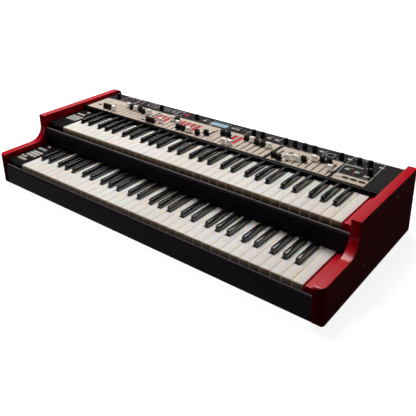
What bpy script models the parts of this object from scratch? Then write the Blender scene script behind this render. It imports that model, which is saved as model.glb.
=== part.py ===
"""Combo organ with two 61-key manuals, four drawbar sets and a pair of bass drawbars.

Metres, +Z up. X runs along the keys, +Y is the rear, the origin is on the floor under the middle of the case.
"""

import math

import bmesh
import bpy
from mathutils import Matrix, Vector

# Keys
WHITE_PITCH = 0.0235
WHITE_GAP = 0.001
OCTAVES = 5
WHITE_HEAD_LENGTH = 0.049
WHITE_FRONT_RADIUS = 0.003
WHITE_BODY_HEIGHT = 0.014
WHITE_SKIRT_HEIGHT = 0.020
WHITE_SKIRT_WALL = 0.004
SHARP_WIDTH = 0.012
SHARP_TOP_WIDTH = 0.0094
SHARP_HEIGHT = 0.011
SHARP_FRONT_SLOPE = 0.0045
SHARP_END_GAP = 0.002
SHARP_SHAFT_WIDTH = 0.008
SHARP_SHAFT_HEIGHT = 0.0033
SHARP_SHAFT_LIFT = 0.0012
SHARP_CLEARANCE = 0.0009
OUTER_SHARP_SPREAD_OF_TWO = 0.0298
OUTER_SHARP_SPREAD_OF_THREE = 0.0566
KEY_DIP = 0.010
KEY_STOP_GAP = 0.0006

# Comb spines and their hinges
HINGE_DISTANCE = 0.202
SPINE_DEPTH = 0.008
SPINE_HEIGHT = 0.006
SPINE_GAP = 0.0015

# Case
CHEEK_THICKNESS = 0.0215
LEFT_BLOCK_WIDTH = 0.0637
RIGHT_BLOCK_WIDTH = 0.0197
LEFT_BLOCK_TO_KEYS = 0.0010
RIGHT_BLOCK_TO_KEYS = 0.0036
SEAT_GAP = 0.0003
CHEEK_AHEAD_OF_KEYS = 0.010
CHEEK_BELOW_KEYS = 0.0745
FLOOR_CLEARANCE = 0.004
MANUAL_RISE = 0.061
MANUAL_SETBACK = 0.1448
CHEEK_STEP_ABOVE_KEYS = 0.0135
CHEEK_TOP_ABOVE_KEYS = 0.0827
CHEEK_STEP_SETBACK = 0.1425
CHEEK_HOLLOW_RADIUS = 0.039
CHEEK_REAR_RADIUS = 0.014
CHEEK_NOSE_RADIUS = 0.006
CHEEK_HEEL_RADIUS = 0.008
CHEEK_TOE_RADIUS = 0.016
CHEEK_PLAN_RADIUS = 0.017
CHEEK_EDGE_RADIUS = 0.0008
SCREW_RECESS_RADIUS = 0.0045
SCREW_RECESS_DEPTH = 0.004
SCREW_INSET_FRONT = 0.1776
SCREW_INSET_REAR = 0.1174
SCREW_HEIGHT_LOW = 0.047
SCREW_HEIGHT_HIGH = 0.136

# Folded sheet
SHEET = 0.0015
RAIL_SHEET = 0.002
RAIL_LIP_DEPTH = 0.0055
RAIL_LIP_BELOW_KEYS = 0.0115
FRONT_RAIL_AHEAD = 0.008
FRONT_RAIL_BELOW_KEYS = 0.0664
MIDDLE_RAIL_AHEAD = 0.0133
RAIL_ABOVE_KEYS = 0.0035
PANEL_ABOVE_KEYS = 0.0115
PANEL_SHEET = 0.002
PANEL_NOSE_RADIUS = 0.008
PANEL_FRONT_ABOVE_KEYS = 0.003
PANEL_OVER_KEYS = 0.1287
PANEL_DEPTH = 0.1455
REAR_INSET = 0.014
PAN_HEIGHT = 0.0175
PAN_SIDE = 0.025
FLANGE = 0.012
REAR_FLANGE = 0.008
DECK_BELOW_KEYS = 0.038
DECK_FRONT = 0.024
DECK_BEHIND_KEYS = 0.0025
UPPER_DECK_SIDE = 0.015

# End blocks
BLOCK_WALL = 0.0025
LEFT_BLOCK_HEIGHT = 0.022
LEFT_BLOCK_SETBACK = 0.0025
RIGHT_BLOCK_HEIGHT = 0.022
RIGHT_BLOCK_SETBACK = 0.0012
BLOCK_EDGE_RADIUS = 0.0008

# Feet
FOOT_RADIUS = 0.013
FOOT_INSET_X = 0.070
FOOT_INSET_Y = 0.050
FOOT_CHAMFER = 0.002

# Control panel. Places along it are counted in white keys from the first key's left edge
KNOB_ROW_TO_REAR = 0.034
KNOB_KEYS = (-1.11, 6.51, 12.17, 20.30, 21.45, 24.38, 25.53, 26.68, 27.83, 30.85, 32.77, 33.91)
FRONT_KNOB_KEY = 34.64
FRONT_KNOB_Y = 0.071
KNOB_HOLE_CLEARANCE = 0.0005
DRAWBAR_PITCH = 0.0176
DRAWBAR_SET_KEYS = (0.30, 7.85, 17.53, 25.15)
BASS_KEY = 15.15
BASS_PITCH = 0.020
DRAWBAR_STEP = 0.00625
DRAWBAR_STEPS = 8
DRAWBAR_PUSHED_Y = 0.0705
DRAWBAR_SETTINGS = (
    (7, 7, 7, 0, 1, 1, 1, 2, 1),
    (8, 8, 6, 1, 1, 4, 7, 7, 7),
    (1, 1, 8, 8, 0, 0, 1, 1, 1),
    (7, 8, 6, 5, 4, 1, 0, 0, 5),
)
BASS_SETTINGS = (7, 5)
DRAWBAR_COLOURS = "bbwwbwbbw"
STATIC_SETS = 3
DISPLAY_KEY = 13.79
DISPLAY_AHEAD_OF_KNOBS = 0.0085
DISPLAY_WIDTH = 0.070
DISPLAY_DEPTH = 0.026
DISPLAY_CLEARANCE = 0.0004
DISPLAY_EDGE = 0.0003
BUTTON_HEIGHT = 0.0012
SMALL_BUTTON = (0.0085, 0.0045)
WIDE_BUTTON = (0.0120, 0.0065)
TALL_BUTTON = (0.0090, 0.0155)
# Small caps: (key, distance from the panel's front), then (key, distance behind the knob row)
SMALL_FRONT_BUTTONS = (
    (-1.36, 0.039), (6.91, 0.023), (14.34, 0.025), (16.85, 0.023), (24.43, 0.022),
    (-1.36, 0.076), (32.34, 0.070), (33.40, 0.066), (34.47, 0.0585),
)
SMALL_REAR_BUTTONS = (
    (13.15, 0.0065), (17.28, 0.0065), (17.87, 0.0065), (22.13, 0.0065), (23.11, 0.0065),
    (28.43, 0.0105), (29.53, 0.0065), (31.57, 0.0095), (34.89, 0.0095),
)
WIDE_FRONT_BUTTONS = ((32.13, 0.029), (32.96, 0.029), (33.79, 0.029), (34.62, 0.029))
TALL_REAR_BUTTONS = ((10.30, 0.0100),)

# Knobs
KNOB_RADIUS = 0.0058
KNOB_SKIRT_RADIUS = 0.0068
KNOB_HEIGHT = 0.015
KNOB_SKIRT_HEIGHT = 0.005
KNOB_PANEL_GAP = 0.0008
KNOB_EDGE = 0.0008
KNOB_SIDES = 12
SHAFT_RADIUS = 0.003
POINTER_WIDTH = 0.0012
POINTER_HEIGHT = 0.0004

# Drawbars
CAP_WIDTH = 0.0156
CAP_DEPTH = 0.0104
CAP_HEIGHT = 0.0125
CAP_FOOT_HEIGHT = 0.0018
CAP_WAIST_HEIGHT = 0.0068
CAP_WAIST_WIDTH = 0.0120
CAP_WAIST_DEPTH = 0.0074
CAP_TOP_WIDTH = 0.0132
CAP_TOP_DEPTH = 0.0078
CAP_PANEL_GAP = 0.0030
STEM_WIDTH = 0.0024
STEM_DEPTH = 0.006
SLOT_CLEARANCE = 0.0005
SLOT_END_CLEARANCE = 0.0012
SLIDER_WIDTH = 0.010
SLIDER_DEPTH = 0.014
SLIDER_HEIGHT = 0.0035

# Boards and supply
BOARD = 0.0016
PANEL_BOARD_DROP = 0.0085
PANEL_BOARD_FRONT = 0.014
PANEL_BOARD_TO_REAR = 0.0175
PANEL_BOARD_SIDE = 0.006
STUD_RADIUS = 0.003
STUD_INSET = 0.008
STUDS_BEHIND_KNOBS = (1, 4, 8)
MAIN_BOARD_LEFT = 0.110
MAIN_BOARD_WIDTH = 0.330
MAIN_BOARD_DEPTH = 0.120
MAIN_BOARD_LIFT = 0.008
POST_RADIUS = 0.003
POST_INSET = 0.008
SUPPLY_RIGHT = 0.080
SUPPLY_WIDTH = 0.120
SUPPLY_DEPTH = 0.090
SUPPLY_HEIGHT = 0.040
INLET_WIDTH = 0.0275
INLET_HEIGHT = 0.0200
INLET_WALL = 0.0025
INLET_DEPTH = 0.0160
INLET_RISE = 0.012
JACK_COUNT = 6
JACK_PITCH = 0.024
JACK_BODY = 0.0155
JACK_BODY_DEPTH = 0.024
JACK_BORE_RADIUS = 0.0033
JACK_BORE_DEPTH = 0.018
BUSH_RADIUS = 0.0055
BUSH_LENGTH = 0.0045
BUSH_SIDES = 14
REAR_CUT_CLEARANCE = 0.0012

# How finely curves are drawn, and how far a cutter runs past what it cuts
CUT_PAST = 0.005
CORNER_STEPS = 3
HOLLOW_STEPS = 12
REAR_CORNER_STEPS = 6
PLAN_CORNER_STEPS = 6
NOSE_STEPS = 6
KEY_EDGE_STEPS = 2
FOOT_SIDES = 16
HOLE_SIDES = 10
STUD_SIDES = 8
POST_SIDES = 8
FLAT_ANGLE = 0.5
WELD_DISTANCE = 1e-6
SCREW_MERGE = 1e-5

# Places worked out from the sizes above
WHITES_PER_OCTAVE = 7
WHITE_COUNT = OCTAVES * WHITES_PER_OCTAVE + 1
KEYS_WIDTH = WHITE_COUNT * WHITE_PITCH
LEFT_MARGIN = SEAT_GAP + LEFT_BLOCK_WIDTH + LEFT_BLOCK_TO_KEYS
RIGHT_MARGIN = RIGHT_BLOCK_TO_KEYS + RIGHT_BLOCK_WIDTH + SEAT_GAP
INNER_WIDTH = LEFT_MARGIN + KEYS_WIDTH + RIGHT_MARGIN
WIDTH = INNER_WIDTH + 2 * CHEEK_THICKNESS
DEPTH = CHEEK_AHEAD_OF_KEYS + MANUAL_SETBACK + PANEL_OVER_KEYS + PANEL_DEPTH + REAR_INSET
INNER_LEFT = -INNER_WIDTH / 2
INNER_RIGHT = INNER_WIDTH / 2
KEYS_LEFT = INNER_LEFT + LEFT_MARGIN
CASE_FRONT = -DEPTH / 2
CASE_REAR = DEPTH / 2
LOWER_FRONT = CASE_FRONT + CHEEK_AHEAD_OF_KEYS
UPPER_FRONT = LOWER_FRONT + MANUAL_SETBACK
LOWER_TOP = FLOOR_CLEARANCE + CHEEK_BELOW_KEYS
UPPER_TOP = LOWER_TOP + MANUAL_RISE
PANEL_TOP = UPPER_TOP + PANEL_ABOVE_KEYS
PANEL_UNDER = PANEL_TOP - PANEL_SHEET
PANEL_FRONT = UPPER_FRONT + PANEL_OVER_KEYS
KEY_SHOWN = min(PANEL_OVER_KEYS, MANUAL_SETBACK - MIDDLE_RAIL_AHEAD)
SHARP_LENGTH = KEY_SHOWN - SHARP_END_GAP - WHITE_HEAD_LENGTH
REAR_FACE = CASE_REAR - REAR_INSET
KNOB_ROW = PANEL_DEPTH - KNOB_ROW_TO_REAR
FRONT_RAIL_BOTTOM = LOWER_TOP - FRONT_RAIL_BELOW_KEYS
PAN_TOP = PAN_HEIGHT
PAN_UNDER = PAN_HEIGHT - SHEET
PANEL_BOARD_TOP = PANEL_TOP - PANEL_BOARD_DROP
MAIN_BOARD_TOP = PAN_TOP + MAIN_BOARD_LIFT + BOARD
MAIN_BOARD_REAR = REAR_FACE - SHEET - SEAT_GAP
WHITE_SPINE_LIFT = SHARP_SHAFT_LIFT + SHARP_SHAFT_HEIGHT + SPINE_GAP
SHARP_HINGE_DISTANCE = HINGE_DISTANCE + SPINE_DEPTH + SPINE_GAP
KEYS_END = SHARP_HINGE_DISTANCE + SPINE_DEPTH / 2

PARTS = "combo_organ"
CUTTERS = "cutters"


def clear_scene():
    for old in list(bpy.data.objects):
        bpy.data.objects.remove(old, do_unlink=True)


def collection(name, rendered=True):
    group = bpy.data.collections.new(name)
    bpy.context.scene.collection.children.link(group)
    group.hide_render = not rendered
    return group


def material(name, colour, roughness, metallic=0.0):
    made = bpy.data.materials.new(name)
    made.use_nodes = True
    shader = made.node_tree.nodes["Principled BSDF"]
    shader.inputs["Base Color"].default_value = (*colour, 1.0)
    shader.inputs["Roughness"].default_value = roughness
    shader.inputs["Metallic"].default_value = metallic
    return made


def add_part(name, mesh, finish, origin=(0.0, 0.0, 0.0)):
    """Makes a rendered object whose origin is at the given point; the mesh is in the case's own frame."""
    part = bpy.data.objects.new(name, mesh)
    mesh.transform(Matrix.Translation(-Vector(origin)))
    part.location = origin
    mesh.materials.clear()
    mesh.materials.append(finish)
    bpy.data.collections[PARTS].objects.link(part)
    return part


def add_cutter(name, mesh):
    cutter = bpy.data.objects.new(name, mesh)
    cutter.display_type = "WIRE"
    cutter.hide_render = True
    bpy.data.collections[CUTTERS].objects.link(cutter)
    return cutter


def boolean(part, cutter, operation):
    modifier = part.modifiers.new(f"{operation.lower()} {cutter.name}", "BOOLEAN")
    modifier.object = cutter
    modifier.operation = operation


def evaluated_mesh(part):
    """The part's mesh with its modifiers applied, in its own frame."""
    graph = bpy.context.evaluated_depsgraph_get()
    mesh = bpy.data.meshes.new_from_object(part.evaluated_get(graph))
    welder = bmesh.new()
    welder.from_mesh(mesh)
    bmesh.ops.remove_doubles(welder, verts=welder.verts, dist=WELD_DISTANCE)
    welder.to_mesh(mesh)
    welder.free()
    return mesh


def block(shape, low, high, top_width=None, front_slope=0.0):
    """Adds a box to a bmesh. Its top can be narrower, and its front can lean back."""
    low, high = Vector(low), Vector(high)
    size, middle = high - low, (low + high) / 2
    place = Matrix.Translation(middle) @ Matrix.Diagonal((*size, 1.0))
    corners = bmesh.ops.create_cube(shape, size=1.0, matrix=place)["verts"]
    for corner in corners:
        if corner.co.z < middle.z:
            continue
        if top_width is not None:
            corner.co.x = middle.x + math.copysign(top_width / 2, corner.co.x - middle.x)
        if corner.co.y < middle.y:
            corner.co.y += front_slope
    return corners


def blocks_mesh(name, corners):
    """One mesh of separate boxes, each given by its low and high corner."""
    shape = bmesh.new()
    for low, high in corners:
        block(shape, low, high)
    return finished(shape, name)


def finished(shape, name):
    mesh = bpy.data.meshes.new(name)
    shape.to_mesh(mesh)
    shape.free()
    return mesh


def cylinders_mesh(name, places, radius, axis, start, length, sides):
    """One mesh of equal cylinders along an axis, from start over length, at points in the other two axes."""
    shape = bmesh.new()
    quarter = math.pi / 2
    turn = {"X": Matrix.Rotation(quarter, 4, "Y"), "Y": Matrix.Rotation(-quarter, 4, "X"), "Z": Matrix()}
    for first, second in places:
        middle = start + length / 2
        centre = {"X": (middle, first, second), "Y": (first, middle, second), "Z": (first, second, middle)}
        place = Matrix.Translation(centre[axis]) @ turn[axis]
        bmesh.ops.create_cone(
            shape, cap_ends=True, segments=sides, radius1=radius, radius2=radius, depth=length, matrix=place
        )
    return finished(shape, name)


def arc(centre, radius, start, end, steps):
    """Points on an arc, from one angle to the other, in degrees."""
    angles = [math.radians(start + (end - start) * step / steps) for step in range(steps + 1)]
    return [(centre[0] + radius * math.cos(a), centre[1] + radius * math.sin(a)) for a in angles]


def prism_mesh(name, outlines, plane, low, high):
    """A solid from closed outlines: in plane XY between two heights, or in plane YZ between two X places."""
    curve = bpy.data.curves.new(name, "CURVE")
    curve.dimensions = "2D"
    curve.fill_mode = "BOTH"
    curve.extrude = (high - low) / 2
    for outline in outlines:
        spline = curve.splines.new("POLY")
        spline.points.add(len(outline) - 1)
        for point, (first, second) in zip(spline.points, outline):
            point.co = (first, second, 0.0, 1.0)
        spline.use_cyclic_u = True
    holder = bpy.data.objects.new(name, curve)
    bpy.context.scene.collection.objects.link(holder)
    mesh = evaluated_mesh(holder)
    bpy.data.objects.remove(holder, do_unlink=True)
    middle = (low + high) / 2
    if plane == "YZ":
        turned = Matrix(((0, 0, 1, middle), (1, 0, 0, 0), (0, 1, 0, 0), (0, 0, 0, 1)))
    else:
        turned = Matrix.Translation((0.0, 0.0, middle))
    mesh.transform(turned)
    tidy = bmesh.new()
    tidy.from_mesh(mesh)
    bmesh.ops.dissolve_limit(tidy, angle_limit=math.radians(FLAT_ANGLE), verts=tidy.verts, edges=tidy.edges)
    bmesh.ops.recalc_face_normals(tidy, faces=tidy.faces)
    tidy.to_mesh(mesh)
    tidy.free()
    return mesh


def folded_sheet(name, profile, left, right, thickness, finish):
    """A bent sheet: an open profile in YZ drawn out along X, with its wall to one side of the profile."""
    shape = bmesh.new()
    points = [shape.verts.new((left, y, z)) for y, z in profile]
    edges = [shape.edges.new(pair) for pair in zip(points, points[1:])]
    drawn = bmesh.ops.extrude_edge_only(shape, edges=edges)["geom"]
    moved = [element for element in drawn if isinstance(element, bmesh.types.BMVert)]
    bmesh.ops.translate(shape, verts=moved, vec=(right - left, 0.0, 0.0))
    sheet = add_part(name, finished(shape, name), finish)
    wall = sheet.modifiers.new("wall", "SOLIDIFY")
    wall.thickness = thickness
    wall.offset = -1.0
    wall.use_even_offset = True
    return sheet


def round_edges(part, radius, segments=2, angle=30.0):
    bevel = part.modifiers.new("rounded edges", "BEVEL")
    bevel.width = radius
    bevel.segments = segments
    bevel.limit_method = "ANGLE"
    bevel.angle_limit = math.radians(angle)


def shade_round(part, angle=35.0):
    part.data.shade_smooth()
    part.data.set_sharp_from_angle(angle=math.radians(angle))


def cheek_profile():
    """The side of a cheek in YZ: low step, hollow curve, high step, rounded rear corner."""
    bottom = FLOOR_CLEARANCE
    step = LOWER_TOP + CHEEK_STEP_ABOVE_KEYS
    top = LOWER_TOP + CHEEK_TOP_ABOVE_KEYS
    riser = CASE_FRONT + CHEEK_STEP_SETBACK
    nose = (CASE_FRONT + CHEEK_NOSE_RADIUS, step - CHEEK_NOSE_RADIUS)
    hollow = (riser - CHEEK_HOLLOW_RADIUS, step + CHEEK_HOLLOW_RADIUS)
    shoulder = (CASE_REAR - CHEEK_REAR_RADIUS, top - CHEEK_REAR_RADIUS)
    heel = (CASE_REAR - CHEEK_HEEL_RADIUS, bottom + CHEEK_HEEL_RADIUS)
    toe = (CASE_FRONT + CHEEK_TOE_RADIUS, bottom + CHEEK_TOE_RADIUS)
    return (
        arc(toe, CHEEK_TOE_RADIUS, 270, 180, CORNER_STEPS)
        + arc(nose, CHEEK_NOSE_RADIUS, 180, 90, CORNER_STEPS)
        + arc(hollow, CHEEK_HOLLOW_RADIUS, 270, 360, HOLLOW_STEPS)
        + [(riser, top)]
        + arc(shoulder, CHEEK_REAR_RADIUS, 90, 0, REAR_CORNER_STEPS)
        + arc(heel, CHEEK_HEEL_RADIUS, 360, 270, CORNER_STEPS)
    )


def make_cheek(name, side, finish):
    """side is -1 for the left cheek and 1 for the right. Its outer corners are rounded in plan."""
    inner = side * INNER_WIDTH / 2
    outer = side * WIDTH / 2
    low, high = min(inner, outer), max(inner, outer)
    cheek = add_part(name, prism_mesh(name, [cheek_profile()], "YZ", low, high), finish)
    turn_x = outer - side * CHEEK_PLAN_RADIUS
    front_turn = arc(
        (turn_x, CASE_FRONT + CHEEK_PLAN_RADIUS), CHEEK_PLAN_RADIUS, 270, 270 + side * 90, PLAN_CORNER_STEPS
    )
    rear_turn = arc(
        (turn_x, CASE_REAR - CHEEK_PLAN_RADIUS), CHEEK_PLAN_RADIUS, 90 - side * 90, 90, PLAN_CORNER_STEPS
    )
    past = CUT_PAST
    before, beyond = inner - side * past, outer + side * past
    plan = [(before, CASE_FRONT - past), (before, CASE_FRONT)] + front_turn + rear_turn
    plan += [(before, CASE_REAR), (before, CASE_REAR + past)]
    plan += [(beyond, CASE_REAR + past), (beyond, CASE_FRONT - past)]
    top = LOWER_TOP + CHEEK_TOP_ABOVE_KEYS
    corner_waste = prism_mesh(f"{name}_corner_cutter", [plan], "XY", -past, top + past)
    boolean(cheek, add_cutter(f"{name}_corner_cutter", corner_waste), "DIFFERENCE")
    places = (
        (CASE_FRONT + SCREW_INSET_FRONT, SCREW_HEIGHT_LOW),
        (CASE_REAR - SCREW_INSET_REAR, SCREW_HEIGHT_HIGH),
    )
    start = min(outer - side * SCREW_RECESS_DEPTH, outer + side * past)
    length = SCREW_RECESS_DEPTH + past
    recesses = cylinders_mesh(f"{name}_recesses", places, SCREW_RECESS_RADIUS, "X", start, length, HOLE_SIDES)
    boolean(cheek, add_cutter(f"{name}_recess_cutter", recesses), "DIFFERENCE")
    round_edges(cheek, CHEEK_EDGE_RADIUS, segments=1, angle=40.0)
    return cheek


def make_bottom_pan(finish):
    """A tray: side walls beside the cheeks, open towards the rails at the front and the rear."""
    left = INNER_LEFT + SEAT_GAP
    right = INNER_RIGHT - SEAT_GAP
    front = CASE_FRONT + CHEEK_AHEAD_OF_KEYS - FRONT_RAIL_AHEAD + RAIL_SHEET + SEAT_GAP
    rear = REAR_FACE - SHEET - SEAT_GAP
    shape = bmesh.new()
    corners = [(left, PAN_TOP + PAN_SIDE), (left, PAN_UNDER), (right, PAN_UNDER), (right, PAN_TOP + PAN_SIDE)]
    points = [shape.verts.new((x, front, z)) for x, z in corners]
    edges = [shape.edges.new(pair) for pair in zip(points, points[1:])]
    drawn = bmesh.ops.extrude_edge_only(shape, edges=edges)["geom"]
    moved = [element for element in drawn if isinstance(element, bmesh.types.BMVert)]
    bmesh.ops.translate(shape, verts=moved, vec=(0.0, rear - front, 0.0))
    bmesh.ops.recalc_face_normals(shape, faces=shape.faces)
    pan = add_part("bottom_pan", finished(shape, "bottom_pan"), finish)
    wall = pan.modifiers.new("wall", "SOLIDIFY")
    wall.thickness = SHEET
    wall.offset = -1.0
    wall.use_even_offset = True
    return pan


def make_feet(finish):
    """Turned rubber feet under the pan."""
    profile = [
        (0.0, PAN_UNDER - SEAT_GAP), (FOOT_RADIUS, PAN_UNDER - SEAT_GAP), (FOOT_RADIUS, FOOT_CHAMFER),
        (FOOT_RADIUS - FOOT_CHAMFER, 0.0), (0.0, 0.0),
    ]
    mesh = turned_mesh("foot", profile, FOOT_SIDES)
    across = INNER_WIDTH / 2 - FOOT_INSET_X
    along = DEPTH / 2 - FOOT_INSET_Y
    places = {
        "foot_front_left": (-across, -along), "foot_front_right": (across, -along),
        "foot_rear_left": (-across, along), "foot_rear_right": (across, along),
    }
    for name, (x, y) in places.items():
        foot = add_part(name, mesh.copy(), finish)
        foot.location = (x, y, 0.0)
        shade_round(foot)


def turned_mesh(name, profile, sides):
    """A turned solid about Z. The profile runs from the axis at the top, down the outside, to the axis."""
    shape = bmesh.new()
    points = [shape.verts.new((radius, 0.0, height)) for radius, height in profile]
    for pair in zip(points, points[1:]):
        shape.edges.new(pair)
    turned = bpy.data.objects.new(name, finished(shape, name))
    bpy.context.scene.collection.objects.link(turned)
    screw = turned.modifiers.new("turn", "SCREW")
    screw.steps = sides
    screw.render_steps = sides
    screw.use_merge_vertices = True
    screw.merge_threshold = SCREW_MERGE
    mesh = evaluated_mesh(turned)
    bpy.data.objects.remove(turned, do_unlink=True)
    return mesh


def rail_profile(face_y, top_z, bottom_z):
    """Face and sloped lip: up the front face, then back along the lip."""
    lip_low = top_z - RAIL_LIP_DEPTH
    return [(face_y, bottom_z), (face_y, lip_low), (face_y + RAIL_LIP_DEPTH, top_z)]


def make_rails(finish):
    left = INNER_LEFT + SEAT_GAP
    right = INNER_RIGHT - SEAT_GAP
    face = LOWER_FRONT - FRONT_RAIL_AHEAD
    profile = rail_profile(face, LOWER_TOP - RAIL_LIP_BELOW_KEYS, FRONT_RAIL_BOTTOM)
    folded_sheet("front_rail", profile, left, right, RAIL_SHEET, finish)
    face = UPPER_FRONT - MIDDLE_RAIL_AHEAD
    top = UPPER_TOP - RAIL_LIP_BELOW_KEYS
    profile = [(face + FLANGE, LOWER_TOP + RAIL_ABOVE_KEYS)]
    profile += rail_profile(face, top, LOWER_TOP + RAIL_ABOVE_KEYS)
    folded_sheet("middle_rail", profile, left, right, RAIL_SHEET, finish)


def panel_point(key, y):
    """A point on the panel: so many white keys from the left, and so far behind the panel's front."""
    return KEYS_LEFT + key * WHITE_PITCH, PANEL_FRONT + y


def drawbar_places():
    """(set index, X, Y, setting) of every drawbar, the bass pair last."""
    rows = [(key, DRAWBAR_PITCH, settings) for key, settings in zip(DRAWBAR_SET_KEYS, DRAWBAR_SETTINGS)]
    rows.append((BASS_KEY, BASS_PITCH, BASS_SETTINGS))
    places = []
    for index, (key, pitch, settings) in enumerate(rows):
        for count, setting in enumerate(settings):
            x, y = panel_point(key, DRAWBAR_PUSHED_Y - setting * DRAWBAR_STEP)
            places.append((index, x + count * pitch, y, setting))
    return places


def knob_points():
    points = [panel_point(key, KNOB_ROW) for key in KNOB_KEYS]
    return points + [panel_point(FRONT_KNOB_KEY, FRONT_KNOB_Y)]


def display_corner():
    return panel_point(DISPLAY_KEY, KNOB_ROW - DISPLAY_AHEAD_OF_KNOBS)


def button_boxes():
    """(low, high) corners of every button cap, half sunk in the panel's sheet."""
    rows = (
        (SMALL_BUTTON, SMALL_FRONT_BUTTONS, 0.0), (SMALL_BUTTON, SMALL_REAR_BUTTONS, KNOB_ROW),
        (WIDE_BUTTON, WIDE_FRONT_BUTTONS, 0.0), (TALL_BUTTON, TALL_REAR_BUTTONS, KNOB_ROW),
    )
    low, high = PANEL_TOP - PANEL_SHEET / 2, PANEL_TOP + BUTTON_HEIGHT
    boxes = []
    for (width, depth), places, start in rows:
        for key, y in places:
            x, y = panel_point(key, start + y)
            boxes.append(((x - width / 2, y - depth / 2, low), (x + width / 2, y + depth / 2, high)))
    return boxes


def stud_places():
    """The panel's studs: front ones midway between neighbouring drawbar sets, rear ones between knobs."""
    bars = sorted((x, index) for index, x, _, _ in drawbar_places())
    pairs = zip(bars, bars[1:])
    front = [(x + next_x) / 2 for (x, index), (next_x, next_index) in pairs if index != next_index]
    knobs = [x for x, _ in knob_points()]
    rear = [(knobs[count] + knobs[count + 1]) / 2 for count in STUDS_BEHIND_KNOBS]
    left, right = INNER_LEFT + PANEL_BOARD_SIDE + STUD_INSET, INNER_RIGHT - PANEL_BOARD_SIDE - STUD_INSET
    near = PANEL_FRONT + PANEL_BOARD_FRONT + STUD_INSET / 2
    far = REAR_FACE - PANEL_BOARD_TO_REAR - STUD_INSET / 2
    return [(x, y) for row, y in ((front, near), (rear, far)) for x in (left, *row, right)]


def make_control_panel(finish):
    """The folded top with its rounded nose, slots, knob holes, display window and button caps."""
    left = INNER_LEFT + SEAT_GAP
    right = INNER_RIGHT - SEAT_GAP
    centre = (PANEL_FRONT + PANEL_NOSE_RADIUS, PANEL_TOP - PANEL_NOSE_RADIUS)
    nose = arc(centre, PANEL_NOSE_RADIUS, 180, 90, NOSE_STEPS)
    bottom = UPPER_TOP + PANEL_FRONT_ABOVE_KEYS
    profile = [(PANEL_FRONT, bottom)] + nose + [(REAR_FACE, PANEL_TOP)]
    panel = folded_sheet("control_panel", profile, left, right, PANEL_SHEET, finish)
    low, high = PANEL_UNDER - CUT_PAST, PANEL_TOP + CUT_PAST
    half_slot = STEM_WIDTH / 2 + SLOT_CLEARANCE
    slots = []
    for _, x, y, setting in drawbar_places():
        pushed = y + setting * DRAWBAR_STEP + STEM_DEPTH / 2 + SLOT_END_CLEARANCE
        pulled = y - (DRAWBAR_STEPS - setting) * DRAWBAR_STEP - STEM_DEPTH / 2 - SLOT_END_CLEARANCE
        slots.append(((x - half_slot, pulled, low), (x + half_slot, pushed, high)))
    x, y = display_corner()
    slots.append(((x, y, low), (x + DISPLAY_WIDTH, y + DISPLAY_DEPTH, high)))
    boolean(panel, add_cutter("slot_cutter", blocks_mesh("slot_cutter", slots)), "DIFFERENCE")
    hole = SHAFT_RADIUS + KNOB_HOLE_CLEARANCE
    holes = cylinders_mesh("knob_hole_cutter", knob_points(), hole, "Z", low, high - low, HOLE_SIDES)
    boolean(panel, add_cutter("knob_hole_cutter", holes), "DIFFERENCE")
    boolean(panel, add_cutter("button_caps", blocks_mesh("button_caps", button_boxes())), "UNION")
    foot = PANEL_BOARD_TOP + SEAT_GAP
    length = PANEL_TOP - PANEL_SHEET / 2 - foot
    studs = cylinders_mesh("panel_studs", stud_places(), STUD_RADIUS, "Z", foot, length, STUD_SIDES)
    boolean(panel, add_cutter("panel_studs", studs), "UNION")
    return panel


def make_display(finish):
    x, y = display_corner()
    low = (x + DISPLAY_CLEARANCE, y + DISPLAY_CLEARANCE, PANEL_BOARD_TOP + SEAT_GAP)
    high = (x + DISPLAY_WIDTH - DISPLAY_CLEARANCE, y + DISPLAY_DEPTH - DISPLAY_CLEARANCE, PANEL_TOP)
    lens = add_part("display_lens", blocks_mesh("display_lens", [(low, high)]), finish)
    round_edges(lens, DISPLAY_EDGE, segments=1)


def make_end_block(name, low, high, finish):
    """A thin cover: top, front and sides, open below and at the rear."""
    shape = bmesh.new()
    block(shape, low, high)
    open_faces = [face for face in shape.faces if face.normal.z < -0.5 or face.normal.y > 0.5]
    bmesh.ops.delete(shape, geom=open_faces, context="FACES_ONLY")
    cover = add_part(name, finished(shape, name), finish)
    wall = cover.modifiers.new("wall", "SOLIDIFY")
    wall.thickness = BLOCK_WALL
    wall.offset = -1.0
    wall.use_even_offset = True
    round_edges(cover, BLOCK_EDGE_RADIUS, segments=1, angle=60.0)
    return cover


def make_end_blocks(black, red):
    for manual, front, top, rear in (
        ("lower", LOWER_FRONT, LOWER_TOP, UPPER_FRONT - MIDDLE_RAIL_AHEAD - SEAT_GAP),
        ("upper", UPPER_FRONT, UPPER_TOP, PANEL_FRONT - SEAT_GAP),
    ):
        left = INNER_LEFT + SEAT_GAP
        low = (left, front + LEFT_BLOCK_SETBACK, top - LEFT_BLOCK_HEIGHT)
        make_end_block(f"{manual}_left_end_block", low, (left + LEFT_BLOCK_WIDTH, rear, top), black)
        right = INNER_RIGHT - SEAT_GAP
        low = (right - RIGHT_BLOCK_WIDTH, front + RIGHT_BLOCK_SETBACK, top - RIGHT_BLOCK_HEIGHT)
        make_end_block(f"{manual}_right_end_block", low, (right, rear, top), red)


def sharp_centres():
    """Sharps of one octave, from the octave's left edge: two about D, three about G sharp."""
    first = 1.5 * WHITE_PITCH
    second = 5.0 * WHITE_PITCH
    pair = [first - OUTER_SHARP_SPREAD_OF_TWO / 2, first + OUTER_SHARP_SPREAD_OF_TWO / 2]
    half = OUTER_SHARP_SPREAD_OF_THREE / 2
    return pair + [second - half, second, second + half]


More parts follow.
